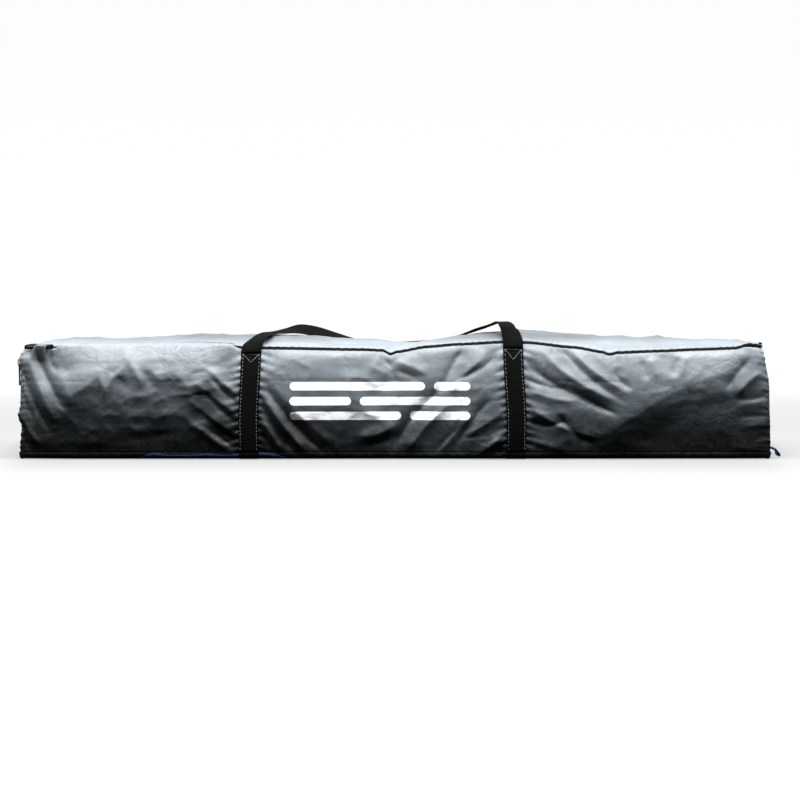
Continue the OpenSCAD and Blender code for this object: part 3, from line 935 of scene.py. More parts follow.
def taped_strap(name, centre, path):
    """Webbing laid on the bag along a path of sharp (y, z) points."""
    section = webbing_section(WEB_W, WEB_T)
    path = np.array(path)
    x = centre + np.broadcast_to(section[:, 0], (len(path), len(section)))
    up = np.broadcast_to(section[:, 1], x.shape) + 0.0003
    y = np.broadcast_to(path[:, :1], x.shape)
    z = np.broadcast_to(path[:, 1:], x.shape)
    return dress(loft(name, tube(x, y, z, up)), WEBBING)


def joined(name, objects):
    """One object from several, their materials kept."""
    vertices, faces, slots, materials = [], [], [], []
    for obj in objects:
        start = len(vertices)
        vertices += [tuple(obj.matrix_world @ v.co) for v in obj.data.vertices]
        faces += [tuple(start + i for i in p.vertices) for p in obj.data.polygons]
        material = obj.data.materials[0]
        if material not in materials:
            materials.append(material)
        slots += [materials.index(material)] * len(obj.data.polygons)
        bpy.data.objects.remove(obj)
    obj = new_object(name, vertices, faces)
    for material in materials:
        obj.data.materials.append(material)
    obj.data.polygons.foreach_set("material_index", slots)
    return obj


def thread(name, points):
    """Stitches that each lie between two given points, slightly bowed up in the middle."""
    radius = 0.00034
    vertices, faces = [], []
    for a, b, up in points:
        along = unit(b - a)
        side = np.cross(along, up)
        start = len(vertices)
        for t, size, bow in ((0, 0.35, 0), (0.15, 1, 0.5), (0.5, 1.1, 0.8), (0.85, 1, 0.5), (1, 0.35, 0)):
            middle = a + (b - a) * t + up * radius * bow
            for turn in np.linspace(0, 2 * math.pi, 6, endpoint=False):
                vertices.append(middle + radius * size * (math.cos(turn) * side + math.sin(turn) * up))
        faces += [tuple(start + i for i in f) for f in grid_faces(5, 6, closed=True)]
        faces += [tuple(range(start, start + 6))[::-1], tuple(range(start + 24, start + 30))]
    return dress(new_object(name, vertices, faces), THREAD)


def strap_stitches(name, centre, y, z0, z1, extra=()):
    """Two dashed rows up a strap and whatever other lines of (x, z) points are given."""
    inset = WEB_W / 2 - 0.0030
    lines = [([(centre + side * inset, z0), (centre + side * inset, z1)], 0.0056, 0.80) for side in (-1, 1)]
    lines += [(line, 0.0036, 1.04) for line in extra]
    stitches = []
    for line, pitch, share in lines:
        for (x0, za), (x1, zb) in zip(line, line[1:]):
            length = math.hypot(x1 - x0, zb - za)
            count = max(int(length / pitch), 1)
            for k in range(count):
                t0, t1 = (k + 0.15) / count, (k + share) / count
                ends = tube([x0 + (x1 - x0) * t0, x0 + (x1 - x0) * t1], y,
                            [za + (zb - za) * t0, za + (zb - za) * t1], WEB_T + 0.0004)
                stitches.append((ends[0], ends[1], np.array([0, math.copysign(1, y), 0.0])))
    return thread(name, stitches)


def side_strap(node, centre, sign):
    """A strap up the front (sign -1) or back (1), with its stitching."""
    y = sign * HALF_D
    zs = spaced(FOLD_Z + 0.0012, STRAP_TOP, 0.003)
    strap = taped_strap("webbing", centre, [(y, z) for z in zs])
    half = WEB_W / 2 - 0.0030
    top = STRAP_TOP - 0.0035
    cross = [(centre - half, top), (centre + half, top)]
    vee = [(centre - half, top), (centre, top - 0.0125), (centre + half, top)]
    stitches = strap_stitches("stitches", centre, y, zs[0] + 0.002, STRAP_TOP - 0.002, (cross, vee))
    obj = joined(node.replace("strap", "webbing"), [strap, stitches])
    if sign < 0:
        finish_front(obj, node)
    else:
        finish_piece(obj, "bag", "webbing", node)


for place, centre in zip(("left", "right"), STRAP_X):
    side_strap(f"front_{place}_strap", centre, -1)
    side_strap(f"rear_{place}_strap", centre, 1)

under = [(-HALF_D, z) for z in spaced(FOLD_Z - 0.0008, 0.0, 0.002)[:-1]]
under += [(y, 0.0) for y in spaced(-HALF_D, HALF_D, 0.006)]
under += [(HALF_D, z) for z in spaced(0.0, FOLD_Z + 0.0012, 0.002)[1:]]
belts = [taped_strap("belt", centre, under) for centre in STRAP_X]
finish_piece(joined("bottom_webbing", belts), "bag", "webbing", "bottom_straps")


# ---------------------------------------------------------------- end bindings, hem
def end_binding(side, node):
    """A folded strip over the seam round an end, from the zip over the top and back to the front fold."""
    path = [(-HALF_D, z) for z in spaced(ZIP_Z + 0.006, HEIGHT, 0.002)[:-1]]
    path += [(y, HEIGHT) for y in spaced(-HALF_D, HALF_D, 0.003)[:-1]]
    path += [(HALF_D, z) for z in spaced(HEIGHT, 0, 0.003)[:-1]]
    path += [(y, 0.0) for y in spaced(HALF_D, -HALF_D, 0.004)[:-1]]
    path += [(-HALF_D, z) for z in spaced(0, FOLD_Z, 0.002)]
    path = np.array(path)
    columns = []
    for away in (0.0052, 0.0046, 0.003, 0.0015, 0.0):
        rise = 0.0003 if away == 0.0052 else 0.0014
        columns.append(tube(side * (HALF_L - away), path[:, 0], path[:, 1], rise))
    for inset in (0.0016, 0.0032, 0.0046, 0.0052):
        shrink = 1 - inset / HALF_D
        middle = HEIGHT / 2
        rise = 0.0003 if inset == 0.0052 else 0.0014
        columns.append(end_cap(side, path[:, 0] * shrink, middle + (path[:, 1] - middle) * shrink, rise))
    points = np.stack(columns, axis=1)
    points[..., 2] = np.maximum(points[..., 2], 0.0003)
    obj = thicken(grid_object(node.replace("binding", "trim"), points, flip=side > 0), 0.0008)
    finish_piece(dress(obj, BINDING), "bag", "binding", node)


end_binding(-1, "left_end_binding")
end_binding(1, "right_end_binding")

hem_rows = np.stack([tube(TUBE_X[3:-3], -HALF_D, z, -0.0016) for z in spaced(FOLD_Z + 0.002, 0.023, 0.002)])
finish_front(cloth_panel("front_hem_tape", hem_rows, (0, -1, 0), BINDING), "front_hem")


# ---------------------------------------------------------------- zip
LEG_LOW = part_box("front_zip_coil")[0].z
LEG_RUN = ZIP_Z - LEG_LOW
SIDE_RUN = HALF_D + LEG_Y
ZIP_RUNS = np.cumsum([0, LEG_RUN, SIDE_RUN, 2 * HALF_L, SIDE_RUN, LEG_RUN])
CORNER = 0.0045


def zip_points(s, off, rise):
    """Points of the zip at s metres from its left foot, off metres towards the rear, rise outside the cloth."""
    s, off, rise = (np.array(a, float) for a in np.broadcast_arrays(s, off, rise))
    total = ZIP_RUNS[-1]
    left = s < total / 2
    t = np.where(left, s, total - s)
    # On an end: up the leg, round the corner, then forward to the front edge
    leg_y = LEG_Y + off
    leg_z = LEG_LOW + t
    side_y = LEG_Y - (t - LEG_RUN)
    side_z = ZIP_Z + off
    bend = np.clip((t - (LEG_RUN - CORNER)) / (2 * CORNER), 0, 1) * math.pi / 2
    arc_y = LEG_Y - CORNER + (CORNER + off) * np.cos(bend)
    arc_z = ZIP_Z - CORNER + (CORNER + off) * np.sin(bend)
    on_leg, on_side = t < LEG_RUN - CORNER, t > LEG_RUN + CORNER
    y = np.where(on_leg, leg_y, np.where(on_side, side_y, arc_y))
    z = np.where(on_leg, leg_z, np.where(on_side, side_z, arc_z))
    caps = np.where(left[..., None], end_cap(-1, y, z, rise), end_cap(1, y, z, rise))
    front = tube(np.clip(s - ZIP_RUNS[2] - HALF_L, -HALF_L, HALF_L), -HALF_D, ZIP_Z + off, rise)
    on_front = (s > ZIP_RUNS[2]) & (s < ZIP_RUNS[3])
    return np.where(on_front[..., None], front, caps)


def zip_tape(name, sign):
    """The woven tape of one side, its far edge under the cloth."""
    s = spaced(0.002, ZIP_RUNS[-1] - 0.002, 0.003)
    off = sign * np.array([0.0006, 0.0026, 0.0050, 0.0085, 0.0125])
    drop = np.array([-0.0001, -0.0006, -0.0017, -0.0019, -0.0021])
    ss, oo = np.meshgrid(s, off, indexing="ij")
    points = zip_points(ss, oo, np.broadcast_to(drop, ss.shape))
    return dress(thicken(grid_object(name, points, flip=sign > 0), 0.0006, offset=0), ZIP_TAPE)


def zip_coil(name, sign):
    """One side's coil: a bead of loops."""
    pitch = 0.0021
    s = np.arange(0.003, ZIP_RUNS[-1] - 0.003, pitch / 5)
    if sign < 0:
        s = s[s > ZIP_RUNS[2] + 0.002]
    wave = 0.5 + 0.5 * np.cos(2 * math.pi * s / pitch + (0 if sign > 0 else math.pi))
    size = 0.0008 + 0.0005 * wave
    rings = []
    for turn in np.linspace(0, 2 * math.pi, 8, endpoint=False):
        off = sign * (0.0014 + size * math.cos(turn))
        rise = 0.0004 + size * math.sin(turn)
        rings.append(zip_points(s, off, rise))
    return dress(loft(name, np.stack(rings, axis=1), flip=sign > 0), COIL)


for sign, part in ((-1, "front"), (1, "rear")):
    for make, look in ((zip_tape, "woven"), (zip_coil, "loops")):
        node = f"{part}_{make.__name__}"
        piece = make(f"{node}_{look}", sign)
        if sign < 0:
            finish_front(piece, node)
        else:
            finish_piece(piece, "bag", make.__name__, node)


def from_bmesh(name, bm, edges, radius):
    """An object from a bmesh, the given edges rounded."""
    bmesh.ops.bevel(bm, geom=edges, offset=radius, segments=3, affect="EDGES", profile=0.5)
    mesh = bpy.data.meshes.new(name)
    bm.to_mesh(mesh)
    bm.free()
    mesh.shade_smooth()
    return add_object(name, mesh)


def rounded_block(name, size, centre, radius=0.0008):
    """A box with rounded edges."""
    bm = bmesh.new()
    bmesh.ops.create_cube(bm, size=1)
    for v in bm.verts:
        v.co = Vector(centre) + Vector([a * b for a, b in zip(v.co, size)])
    return from_bmesh(name, bm, bm.edges[:], radius)


def plate(name, outline, thick, radius=0.0005):
    """A flat plate from an outline of (u, v) points, thick along w, its edges rounded."""
    bm = bmesh.new()
    face = bm.faces.new([bm.verts.new((u, v, -thick / 2)) for u, v in outline])
    top = bmesh.ops.extrude_face_region(bm, geom=[face])
    for v in (g for g in top["geom"] if isinstance(g, bmesh.types.BMVert)):
        v.co.z += thick
    bmesh.ops.recalc_face_normals(bm, faces=bm.faces[:])
    rims = [e for e in bm.edges if abs(e.verts[0].co.z - e.verts[1].co.z) < 1e-7]
    return from_bmesh(name, bm, rims, radius)


def place(obj, columns, origin, material):
    """Moves mesh points so that u, v, w lie along the three given directions from origin."""
    turn = np.array(columns, float).T
    for v in obj.data.vertices:
        v.co = Vector(turn @ np.array(v.co) + np.array(origin))
    if np.linalg.det(turn) < 0:
        obj.data.flip_normals()
    return dress(obj, material)


def slider_body(name, axes, low, high):
    """A deck and a base joined by a post, and the bridge that holds the tab."""
    along, across, out = axes
    face = (low + high) / 2 + out * (np.abs(out) @ (high - low) / 2)
    half = np.abs(along) @ (high - low) / 2
    width = np.abs(across) @ (high - low)
    outline = []
    for t in np.linspace(0, 2 * math.pi, 28, endpoint=False):
        u, v = math.cos(t), math.sin(t)
        wide = 0.5 * width * (0.80 + 0.20 * math.copysign(1, u) * abs(u) ** 0.7)
        outline.append((half * math.copysign(abs(u) ** 0.75, u), wide * math.copysign(abs(v) ** 0.65, v)))
    loop = []
    for a in np.linspace(0, math.pi, 15):
        spot = np.array([-0.0058 * math.cos(a) - 0.001, 0, 0.0031 * math.sin(a) ** 0.6 - 0.0034])
        tangent = unit(np.array([math.sin(a), 0, 0.6 * math.cos(a)]))
        normal = np.array([-tangent[2], 0, tangent[0]])
        loop.append([spot + 0.0009 * (math.cos(r) * normal + 1.5 * math.sin(r) * np.array([0, 1, 0]))
                     for r in np.linspace(0, 2 * math.pi, 8, endpoint=False)])
    pieces = [
        place(plate("deck", outline, 0.0021, 0.0007), axes, face - out * 0.0040, METAL),
        place(plate("base", outline, 0.0018, 0.0006), axes, face - out * 0.0105, METAL),
        place(rounded_block("post", (0.004, 0.0022, 0.006), (0, 0, 0)), axes, face - out * 0.0070, METAL),
        place(loft("bridge", np.array(loop)), axes, face, METAL),
    ]
    return joined(name, pieces)


def pull_tab(name, axes, low, high):
    """A waisted plate with a dimpled grip at one end and an eye at the other."""
    reach, wide = (np.abs(axis) @ (high - low) / 2 for axis in axes[:2])
    profile = [(-reach, 0.55), (-reach + 0.002, 0.80), (-reach + 0.006, 1.0), (reach * 0.4, 0.86),
               (reach - 0.004, 1.0), (reach - 0.001, 0.80), (reach, 0.45)]
    outline = [(u, wide * w) for u, w in profile] + [(u, -wide * w) for u, w in profile[::-1]]
    pieces = [
        plate("pull", outline, 0.0016),
        rounded_block("grip", (0.011, wide, 0.0020), (reach - 0.0105, 0, 0), radius=0.0007),
        rounded_block("eye", (0.0055, wide * 0.7, 0.0019), (-reach + 0.0055, 0, 0), radius=0.0007),
    ]
    return joined(name, [place(piece, axes, (low + high) / 2, METAL) for piece in pieces])


def slider_and_tab(prefix, along, out, node):
    """A zip slider and its pull tab, along the zip and out from the cloth."""
    along, out = np.array(along, float), np.array(out, float)
    axes = (along, np.cross(out, along), out)
    for make, name, body, part in (
        (slider_body, "_slider_body", "_slider", node),
        (pull_tab, "_pull_tab", "_tab", node + "_tab"),
    ):
        low, high = (np.array(corner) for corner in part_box(part))
        finish_piece(make(prefix + name, axes, low, high), prefix + body, "slider_metal", part)


slider_and_tab("long_zip", (1, 0, 0), (0, -1, 0), "top_slider")
slider_and_tab("end_zip", (0, 0, -1), (-1, 0, 0), "end_slider")


# ---------------------------------------------------------------- handles
def smooth_path(keys):
    """Points every 4 mm along a smooth curve through the keys, each (point, width direction)."""
    step = 0.004
    points = np.array([k[0] for k in keys], float)
    both = np.concatenate([points, unit(np.array([k[1] for k in keys], float))], axis=1)
    knots = np.concatenate([[0], np.cumsum(np.linalg.norm(np.diff(points, axis=0), axis=1) ** 0.75)])
    slopes = np.zeros_like(both)
    gaps = np.diff(knots)[:, None]
    rates = np.diff(both, axis=0) / gaps
    slopes[1:-1] = (rates[:-1] * gaps[1:] + rates[1:] * gaps[:-1]) / (gaps[1:] + gaps[:-1])
    slopes[0], slopes[-1] = rates[0], rates[-1]
    fine = []
    for k in range(len(both) - 1):
        t = np.linspace(0, 1, 60, endpoint=False)[:, None]
        h = gaps[k]
        fine.append((2 * t**3 - 3 * t**2 + 1) * both[k] + (t**3 - 2 * t**2 + t) * h * slopes[k]
                    + (3 * t**2 - 2 * t**3) * both[k + 1] + (t**3 - t**2) * h * slopes[k + 1])
    fine = np.concatenate(fine + [both[-1:]])
    length = np.concatenate([[0], np.cumsum(np.linalg.norm(np.diff(fine[:, :3], axis=0), axis=1))])
    at = np.linspace(0, length[-1], int(length[-1] / step) + 1)
    return np.stack([np.interp(at, length, fine[:, k]) for k in range(6)], axis=1)


def loose_webbing(name, keys, node, curl=0.0):
    """A handle's webbing along a free path; curl bends its cross-section a little, as worn webbing does."""
    path = smooth_path(keys)
    section = webbing_section(WEB_W, WEB_T)
    centre, side = path[:, :3], path[:, 3:]
    tangent = unit(np.gradient(centre, axis=0))
    side = unit(side - tangent * np.sum(side * tangent, axis=1)[:, None])
    up = np.cross(side, tangent)
    u = section[:, 0]
    v = section[:, 1] - WEB_T / 2 + curl * (1 - (2 * u / WEB_W) ** 2)
    rings = centre[:, None] + side[:, None] * u[None, :, None] + up[:, None] * v[None, :, None]
    obj = dress(loft(name, rings), WEBBING)
    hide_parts(node)
    return obj


def over_top(x, y, lift, z=HEIGHT):
    """A point lift metres over the bag's top."""
    return tube(x, y, z, lift)


def front_handle():
    """From the front straps' tops back over the crown and down again, as the photo shows it lying."""
    left, right = STRAP_X
    start, end = (tube(x, -HALF_D, STRAP_TOP - 0.0020, WEB_T + 0.0010) for x in STRAP_X)
    keys = [
        (start, (1, 0, 0)),
        (tube(left, -HALF_D, STRAP_TOP + 0.004, WEB_T + 0.0018), (1, -0.04, 0)),
        (over_top(left + 0.004, -HALF_D, 0.0030, 0.190), (0.95, -0.28, 0.10)),
        (over_top(left + 0.012, -0.080, 0.0036), (0.84, -0.54, 0.06)),
        (over_top(left + 0.026, -0.050, 0.0040), (0.76, -0.64, 0.0)),
        (over_top(left + 0.044, -0.018, 0.0042), (0.60, -0.80, -0.04)),
        (over_top(left + 0.063, 0.010, 0.0066), (0.36, -0.90, -0.20)),
        (over_top(left + 0.082, 0.029, 0.0096), (0.18, -0.86, -0.46)),
        (over_top(left + 0.104, 0.042, 0.0088), (0.09, -0.88, -0.44)),
        (over_top(left + 0.138, 0.054, 0.0060), (0.05, -0.95, -0.24)),
        (over_top(left + 0.175, 0.063, 0.0036), (0.02, -0.98, 0.02)),
        (over_top(left + 0.230, 0.068, 0.0030), (0, -0.98, 0.18)),
        (over_top(left + 0.290, 0.064, 0.0034), (-0.04, -0.98, 0.14)),
        (over_top(left + 0.338, 0.050, 0.0038), (-0.20, -0.97, 0.04)),
        (over_top(right - 0.062, 0.018, 0.0050), (-0.40, -0.90, 0.0)),
        (over_top(right - 0.048, -0.018, 0.0090), (-0.60, -0.78, -0.06)),
        (over_top(right - 0.030, -0.042, 0.0148), (-0.62, -0.76, -0.08)),
        (over_top(right - 0.016, -0.060, 0.0172), (-0.66, -0.72, 0.04)),
        (over_top(right - 0.008, -0.079, 0.0132), (-0.82, -0.52, 0.10)),
        (over_top(right - 0.003, -0.096, 0.0066), (-0.95, -0.25, 0.06)),
        (tube(right, -HALF_D, STRAP_TOP + 0.006, WEB_T + 0.0020), (-1, 0, 0)),
        (end, (-1, 0, 0)),
    ]
    obj = loose_webbing("front_handle_webbing", keys, "front_handle", curl=0.0006)
    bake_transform(obj)


def rear_handle():
    """Hangs down the back in a wide loop with rounded corners, the same at both ends."""
    # Distance in from the strap, height, lift, and the width direction at the left
    stitched = [(0, STRAP_TOP - 0.010, 0.0012, (1, 0, 0)), (0, STRAP_TOP + 0.001, 0.0020, (1, 0, 0)),
                (0, STRAP_TOP + 0.003, 0.0046, (1, 0, 0)), (0.001, STRAP_TOP - 0.008, 0.0064, (1, 0, 0))]
    hanging = [(0.004, 0.0034, (1, 0, 0.04)), (0.010, 0.0040, (0.98, 0.04, 0.22)),
               (0.030, 0.0052, (0.80, 0.12, 0.58)), (0.066, 0.0052, (0.36, 0.12, 0.92)),
               (0.120, 0.0036, (0.05, 0.04, 1))]
    left_z, right_z = (0.120, 0.085, 0.057, 0.041, 0.036), (0.120, 0.087, 0.060, 0.044, 0.039)

    def half_loop(strap_x, sign, heights):
        rows = stitched + [(inward, z, lift, side) for (inward, lift, side), z in zip(hanging, heights)]
        return [(tube(strap_x + sign * inward, HALF_D, z, WEB_T + lift), (sign * side[0], *side[1:]))
                for inward, z, lift, side in rows]

    left, right = STRAP_X
    middle = [(tube((left + right) / 2 - 0.02, HALF_D, 0.037, WEB_T + 0.0032), (0, 0.02, 1))]
    keys = half_loop(left, 1, left_z) + middle + half_loop(right, -1, right_z)[::-1]
    obj = loose_webbing("rear_handle_webbing", keys, "rear_handle")
    y, z = keys[len(stitched) - 1][0][1:]
    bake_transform(obj)


front_handle()
rear_handle()


# ---------------------------------------------------------------- corner cord
# From its anchor down to the floor and back along it, in millimetres
CORD_ROUTE = [tuple(value / 1000 for value in spot) for spot in (
    (602.4, -84.0, 16.0), (606.0, -84.0, 16.0), (609.5, -83.8, 15.0), (612.5, -83.4, 13.2), (615.0, -82.8, 11.0),
    (617.2, -81.8, 8.6), (619.2, -80.2, 6.2), (620.8, -77.8, 4.2), (622.0, -74.6, 2.9), (622.8, -71.0, 2.3),
    (623.2, -67.0, 2.1), (623.0, -63.0, 2.1), (622.4, -59.0, 2.1), (622.0, -55.0, 2.1), (622.2, -51.0, 2.1),
    (623.0, -47.4, 2.1),
)]
CORD_DIA = 0.004


def on_floor(rings):
    """Keeps points from dipping under the floor."""
    rings[..., 2] = np.maximum(rings[..., 2], 0.0002)
    return rings


def cord_knot():
    """An overhand knot drawn tight: a trefoil of the same cord, squeezed along its axis, with a short tail."""
    centre = np.array(CORD_ROUTE[-1]) + np.array([0.0007, 0.0030, 0.0012])
    turn = np.linspace(0, 2 * math.pi, 96, endpoint=False)
    core = np.stack([np.sin(turn) + 2 * np.sin(2 * turn), np.cos(turn) - 2 * np.cos(2 * turn), -np.sin(3 * turn)], 1)
    core = core * np.array([0.00070, 0.00070, 0.00105])
    tangent = unit(np.roll(core, -1, axis=0) - np.roll(core, 1, axis=0))
    across = unit(np.cross(tangent, (0.2, 0.1, 1)))
    up = np.cross(across, tangent)
    ring = np.linspace(0, 2 * math.pi, 10, endpoint=False)
    rings = core[:, None] + 0.00125 * (
        np.cos(ring)[None, :, None] * across[:, None] + np.sin(ring)[None, :, None] * up[:, None])
    rings = on_floor(rings + centre)
    knot = loft("corner_cord_tie", np.concatenate([rings, rings[:1]]), capped=False)
    foot, step = centre + np.array([0.0004, 0.0016, 0]), np.array([0.0012, 0.0044, -0.0010])
    tail = [[foot + t * step + size * np.array([0.5 * math.cos(a), 0.85 * math.cos(a), math.sin(a)]) for a in ring]
            for t, size in ((0, 0.0015), (0.5, 0.0016), (1, 0.0019))]
    tail = loft("tail", on_floor(np.array(tail)))
    knot = joined("corner_cord_tie", [dress(knot, CORD), dress(tail, CORD)])
    return finish_piece(knot, "bag", "navy_cord", "cord_knot")


def corner_cord():
    """The short cord at the low right corner, with its knot and the tab that holds it."""
    data = bpy.data.curves.new("corner_cord_braid", "CURVE")
    data.dimensions = "3D"
    data.bevel_depth = CORD_DIA / 2
    data.bevel_resolution = 5
    data.use_fill_caps = True
    spline = data.splines.new("POLY")
    spline.points.add(len(CORD_ROUTE) - 1)
    for point, spot in zip(spline.points, CORD_ROUTE):
        point.co = (*spot, 1)
    obj = dress(add_object("corner_cord_braid", data), CORD)
    knot = cord_knot()
    tab = rounded_block("corner_tab", (0.0022, 0.0125, 0.0135), (HALF_L + 0.0029, -0.0840, 0.0172), radius=0.0006)
    finish_piece(dress(tab, BINDING), "bag", "webbing", "cord_anchor")
    finish_piece(obj, "bag", "navy_cord", "corner_cord")
    length = sum(math.dist(a, b) for a, b in zip(CORD_ROUTE, CORD_ROUTE[1:]))
    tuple(CORD_ROUTE[0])


corner_cord()


# ---------------------------------------------------------------- contents
def turned(name, profile, centre, material):
    """A round piece along X from (x, radius) points."""
    turn = np.linspace(0, 2 * math.pi, 28, endpoint=False)
    rings = [[(x, centre[1] + r * math.cos(a), centre[2] + r * math.sin(a)) for a in turn] for x, r in profile]
    return dress(loft(name, np.array(rings), flip=True), material)


def poles():
    """Six poles, each of three tubes that plug together, with a moulded cap on each end."""
    caps = []
    for number in range(1, 7):
        low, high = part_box(f"pole_{number}")
        middle = (low + high) / 2
        r = (high.y - low.y) / 2
        profile = [(low.x, r - 0.0006), (low.x + 0.0006, r)]
        groove = ((-0.0012, 0), (-0.0008, 0.0007), (0.0008, 0.0007), (0.0012, 0),
                  (0.0300, 0), (0.0306, 0.0004), (0.0318, 0.0004), (0.0324, 0))
        for joint in (middle.x - 0.18, middle.x + 0.185):
            profile += [(joint + u, r - depth) for u, depth in groove]
        profile += [(high.x - 0.0006, r), (high.x, r - 0.0006)]
        finish_piece(turned(f"pole_{number}_tube", profile, middle, POLE), "bag", "pole_metal", f"pole_{number}")
        shape = [(-0.0310, 0.0002), (-0.0300, 0.0009), (-0.0200, 0.0009), (-0.0190, 0.0003), (-0.0170, 0.0003),
                 (-0.0160, 0.0009), (0.0016, 0.0009), (0.0034, -0.0006), (0.0040, -0.0040), (0.0040, 0.0006 - r)]
        for side, x in ((-1, low.x), (1, high.x)):
            points = [(x + side * u, r + proud) for u, proud in shape]
            caps.append(turned("cap", points if side > 0 else points[::-1], middle, CAP))
    finish_piece(joined("pole_caps_moulded", caps), "bag", "cap_plastic", "pole_end_caps")


def tie_band(node, x, centre, outer):
    """A webbing band round the roll, and the flap that closes it."""
    section = webbing_section(0.030, 0.0020)
    r = outer * 0.972 + section[:, 1]
    rings = np.array([
        np.stack([x + section[:, 0], centre.y + r * math.cos(a), centre.z + r * math.sin(a)], axis=1)
        for a in np.linspace(0, 2 * math.pi, 72, endpoint=False)
    ])
    band = loft("band", np.concatenate([rings, rings[:1]]), capped=False, flip=True)
    spot = (x, centre.y - outer - 0.0010, centre.z + 0.004)
    flap = rounded_block("flap", (0.026, 0.0022, 0.046), spot, radius=0.0009)
    finish_piece(joined(node + "_band", [dress(band, WEBBING), dress(flap, WEBBING)]), "bag", "webbing", node)


def rolled_sheet():
    """A thick sheet rolled up tight, its layers showing at both ends, pinched a little by its two ties."""
    low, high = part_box("rolled_sheet")
    centre = (low + high) / 2
    outer = (high.y - low.y) / 2 - 0.0006
    pitch, thick, inner = 0.0058, 0.0048, 0.0090
    turns = (outer - thick - inner) / pitch
    angle = np.linspace(0, 2 * math.pi * turns, int(turns * 40))
    low_r = inner + pitch * angle / (2 * math.pi)
    wobble = 0.0005 * np.sin(angle * 2.3 + 1) + 0.0003 * np.sin(angle * 5.1)
    base = np.concatenate([low_r, (low_r + thick)[::-1]]) + np.concatenate([wobble, wobble[::-1]])
    # The free edge ends underneath, at the back
    both = np.concatenate([angle, angle[::-1]]) - angle[-1] - math.radians(60)
    ties = {node: middle_x(node) for node in ("sheet_tie_left", "sheet_tie_right")}
    rings = []
    for x in np.concatenate([[low.x], spaced(low.x + 0.002, high.x - 0.002, 0.018), [high.x]]):
        pinch = sum(0.035 * math.exp(-((x - t) / 0.022) ** 2) for t in ties.values())
        radius = base * (1 - pinch) * (1 - 0.010 * (0.5 + 0.5 * np.sin(both * 3 + 9 * x)))
        rings.append(np.stack([np.full_like(both, x), centre.y + radius * np.cos(both),
                               centre.z + radius * np.sin(both)], axis=1))
    obj = dress(loft("rolled_sheet_layers", np.array(rings)), NAVY)
    finish_piece(obj, "bag", "navy_cloth", "rolled_sheet")
    for node, x in ties.items():
        tie_band(node, x, centre, outer)


def peg_pouch():
    """A stuffed pouch: pillow sides, a gathered neck with a drawn cord, and lumps of what is inside."""
    low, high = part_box("peg_pouch")
    middle = (low + high) / 2
    half = (high - low) / 2
    turn = np.linspace(0, 2 * math.pi, 72, endpoint=False)
    rings = []
    for t in np.linspace(-1, 1, 96):
        x = middle.x + half.x * t
        neck = smooth(0.62, 0.80, t)
        size = (1 - abs(t) ** 7) ** 0.5 if t < 0 else 1
        size = size * (1 - 0.62 * neck) + 0.16 * smooth(0.84, 1.0, t)
        size = max(size, 0.06)
        pleats = (0.05 + 0.16 * neck) * np.cos(11 * turn + 2 * t)
        lumps = 0.035 * noise(turn * 0.02 + 0.4, np.full_like(turn, x), 0.022, 61) * (1 - neck)
        lumps = lumps + 0.018 * crease_noise(turn * 0.03, np.full_like(turn, x), 0.020, 62)
        r = size * (0.93 + lumps) * (1 + pleats * (0.25 + neck))
        c, s = np.cos(turn), np.sin(turn)
        y = np.sign(c) * np.abs(c) ** 0.85 * half.y * r
        z = np.sign(s) * np.abs(s) ** 0.80 * half.z * r
        sag = -half.z * (1 - size) * 0.45
        rings.append(np.stack([np.full_like(turn, x), middle.y + y, np.maximum(middle.z + z + sag, low.z)], axis=1))
    body = dress(loft("peg_pouch_bag", np.array(rings), flip=True), NAVY)
    finish_piece(body, "bag", "navy_cloth", "peg_pouch")


def lining_edge():
    """A sliver of navy lining that shows under the front's bottom edge, left of the first strap."""
    x = spaced(-0.415, -0.166, 0.003)
    fade = between(x, -0.415, -0.385, -0.192, -0.166)
    wave = 0.0058 + 0.0020 * line_noise(x, 0.03, 71)
    rows = [tube(x, -HALF_D, 0.0006 + k * (wave + 0.0022) * fade, 0.0008) for k in (0.0, 0.5, 1.0)]
    finish_piece(cloth_panel("lining_edge", np.stack(rows), (0, -1, 0), NAVY), "bag", "navy_cloth")


def zip_stops():
    """The small crimped stops at the feet of both zip legs."""
    low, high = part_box("zip_stops")
    spots = [end_cap(side, LEG_Y, (low.z + high.z) / 2, 0.0008) for side in (-1, 1)]
    stops = [dress(rounded_block("stop", (0.0022, 0.0062, 0.0030), spot, radius=0.0006), METAL) for spot in spots]
    finish_piece(joined("zip_stop_crimps", stops), "bag", "zip_coil", "zip_stops")


poles()
rolled_sheet()
peg_pouch()
lining_edge()
zip_stops()


# ---------------------------------------------------------------- stage and light
def painted_glow(material, axes, calc):
    """The sweep's own light with a painted shadow in it: dimmer round the bag, and dimmer still close beside it."""
    def out_from(axis, half):
        return calc("MAXIMUM", calc("SUBTRACT", calc("ABSOLUTE", axis), half), 0)

    def grey(value, *stops):
        return ramp(material, value, [(at, (level,) * 3) for at, level in stops])

    far = calc("POWER", calc("MULTIPLY", axes[0], 0.45), 2.0)
    far = calc("ADD", far, calc("POWER", calc("ABSOLUTE", axes[1]), 2.0))
    glow = grey(calc("MULTIPLY", far, 0.22), (0.0, 0.52), (0.10, 0.66), (0.35, 0.88), (1.0, 0.97))
    # The painted shadow close beside the bag
    near = calc("POWER", out_from(axes[0], 0.56), 2.0)
    near = calc("ADD", near, calc("POWER", calc("MULTIPLY", out_from(axes[1], 0.09), 0.30), 2.0))
    return calc("MULTIPLY", glow, grey(calc("MULTIPLY", near, 90), (0.0, 0.66), (0.30, 0.86), (1.0, 1)))


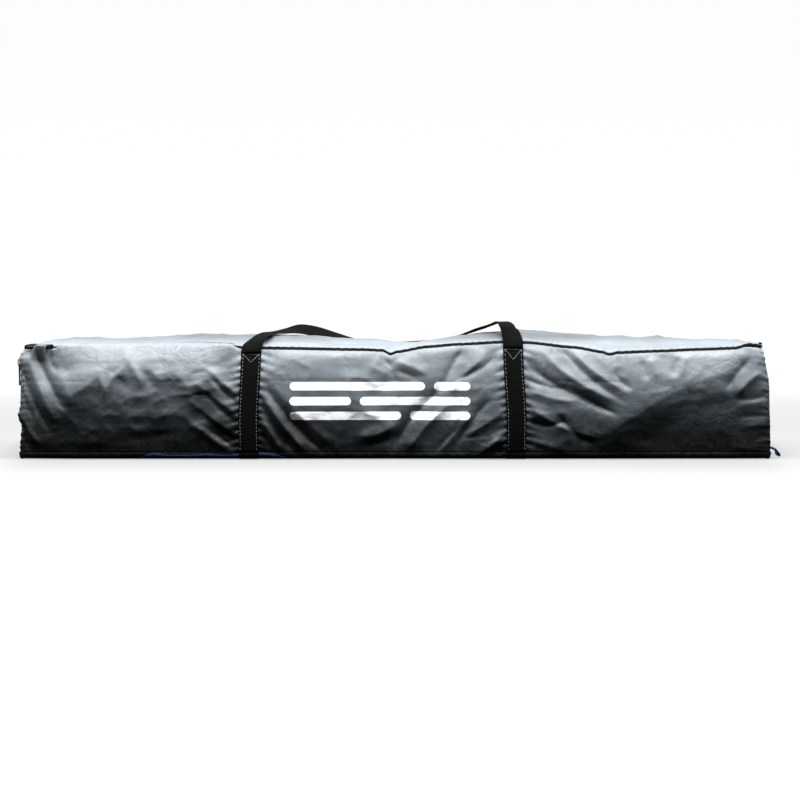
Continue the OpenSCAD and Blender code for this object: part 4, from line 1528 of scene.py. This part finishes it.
def make_stage():
    """A pale sweep: floor, a wide bend and a back wall, mostly self-lit so that it stays even."""
    floor_half, front, back, bend, wall = 4.0, -3.0, 1.8, 1.2, 3.0
    profile = [(front, 0.0), (back, 0.0)]
    profile += [(back + bend * math.sin(a), bend * (1 - math.cos(a))) for a in np.linspace(0, math.pi / 2, 24)[1:]]
    profile += [(back + bend, bend + wall)]
    points = np.array([[(x, y, z - 0.0004) for x in (-floor_half, floor_half)] for y, z in profile])
    sweep = grid_object("sweep", points, flip=True)
    material, _, axes, calc, principled = shader(
        "pale_sweep", (0.12, 0.12, 0.12), 0.95, Specular_IOR_Level=0.0,
        Emission_Color=(0.985, 0.99, 0.99, 1), Emission_Strength=0.90,
    )
    # The glow paints a shadow round the bag.
    link(material, painted_glow(material, axes, calc), principled.inputs["Emission Strength"])
    dress(sweep, material)
    sweep.visible_diffuse = False
    sweep.visible_glossy = False


def make_lamp():
    """A large soft box overhead."""
    data = bpy.data.lights.new("overhead", "AREA")
    data.shape = "RECTANGLE"
    data.size, data.size_y = 3.0, 0.9
    data.energy = 138
    lamp = add_object("overhead", data)
    lamp.location = (-0.05, -0.55, 1.35)
    lamp.rotation_euler = (math.radians(-22), 0, 0)


def make_sky():
    """A sky bright above and behind, dark in front and below; the camera sees plain pale in its place."""
    world = bpy.data.worlds.new("studio")
    bpy.context.scene.world = world
    world.use_nodes = True
    nodes, links = world.node_tree.nodes, world.node_tree.links
    background = nodes["Background"]
    coords, split, tilt, sky, pale, path, mix = (nodes.new("ShaderNode" + kind) for kind in (
        "TexCoord", "SeparateXYZ", "Math", "ValToRGB", "Background", "LightPath", "MixShader"))
    tilt.operation = "MULTIPLY_ADD"
    tilt.inputs[1].default_value = 0.42
    stops = sky.color_ramp.elements
    stops[0].position, stops[0].color = 0.0, (0.004, 0.0045, 0.005, 1)
    stops[1].position, stops[1].color = 1.0, (1.0, 1.06, 1.12, 1)
    for height, level in ((0.10, 0.02), (0.30, 0.35), (0.55, 0.85)):
        stops.new(height).color = (level * 0.95, level, level * 1.05, 1)
    background.inputs["Strength"].default_value = 1.0
    pale.inputs["Color"].default_value = (0.985, 0.99, 0.99, 1)
    for source, socket in (
        (coords.outputs["Generated"], split.inputs[0]),
        (split.outputs[1], tilt.inputs[0]),
        (split.outputs[2], tilt.inputs[2]),
        (tilt.outputs[0], sky.inputs[0]),
        (sky.outputs["Color"], background.inputs["Color"]),
        (path.outputs["Is Camera Ray"], mix.inputs[0]),
        (background.outputs[0], mix.inputs[1]),
        (pale.outputs[0], mix.inputs[2]),
        (mix.outputs[0], nodes["World Output"].inputs["Surface"]),
    ):
        links.new(source, socket)


make_stage()
make_lamp()
make_sky()
bpy.context.scene.view_settings.view_transform = "Standard"
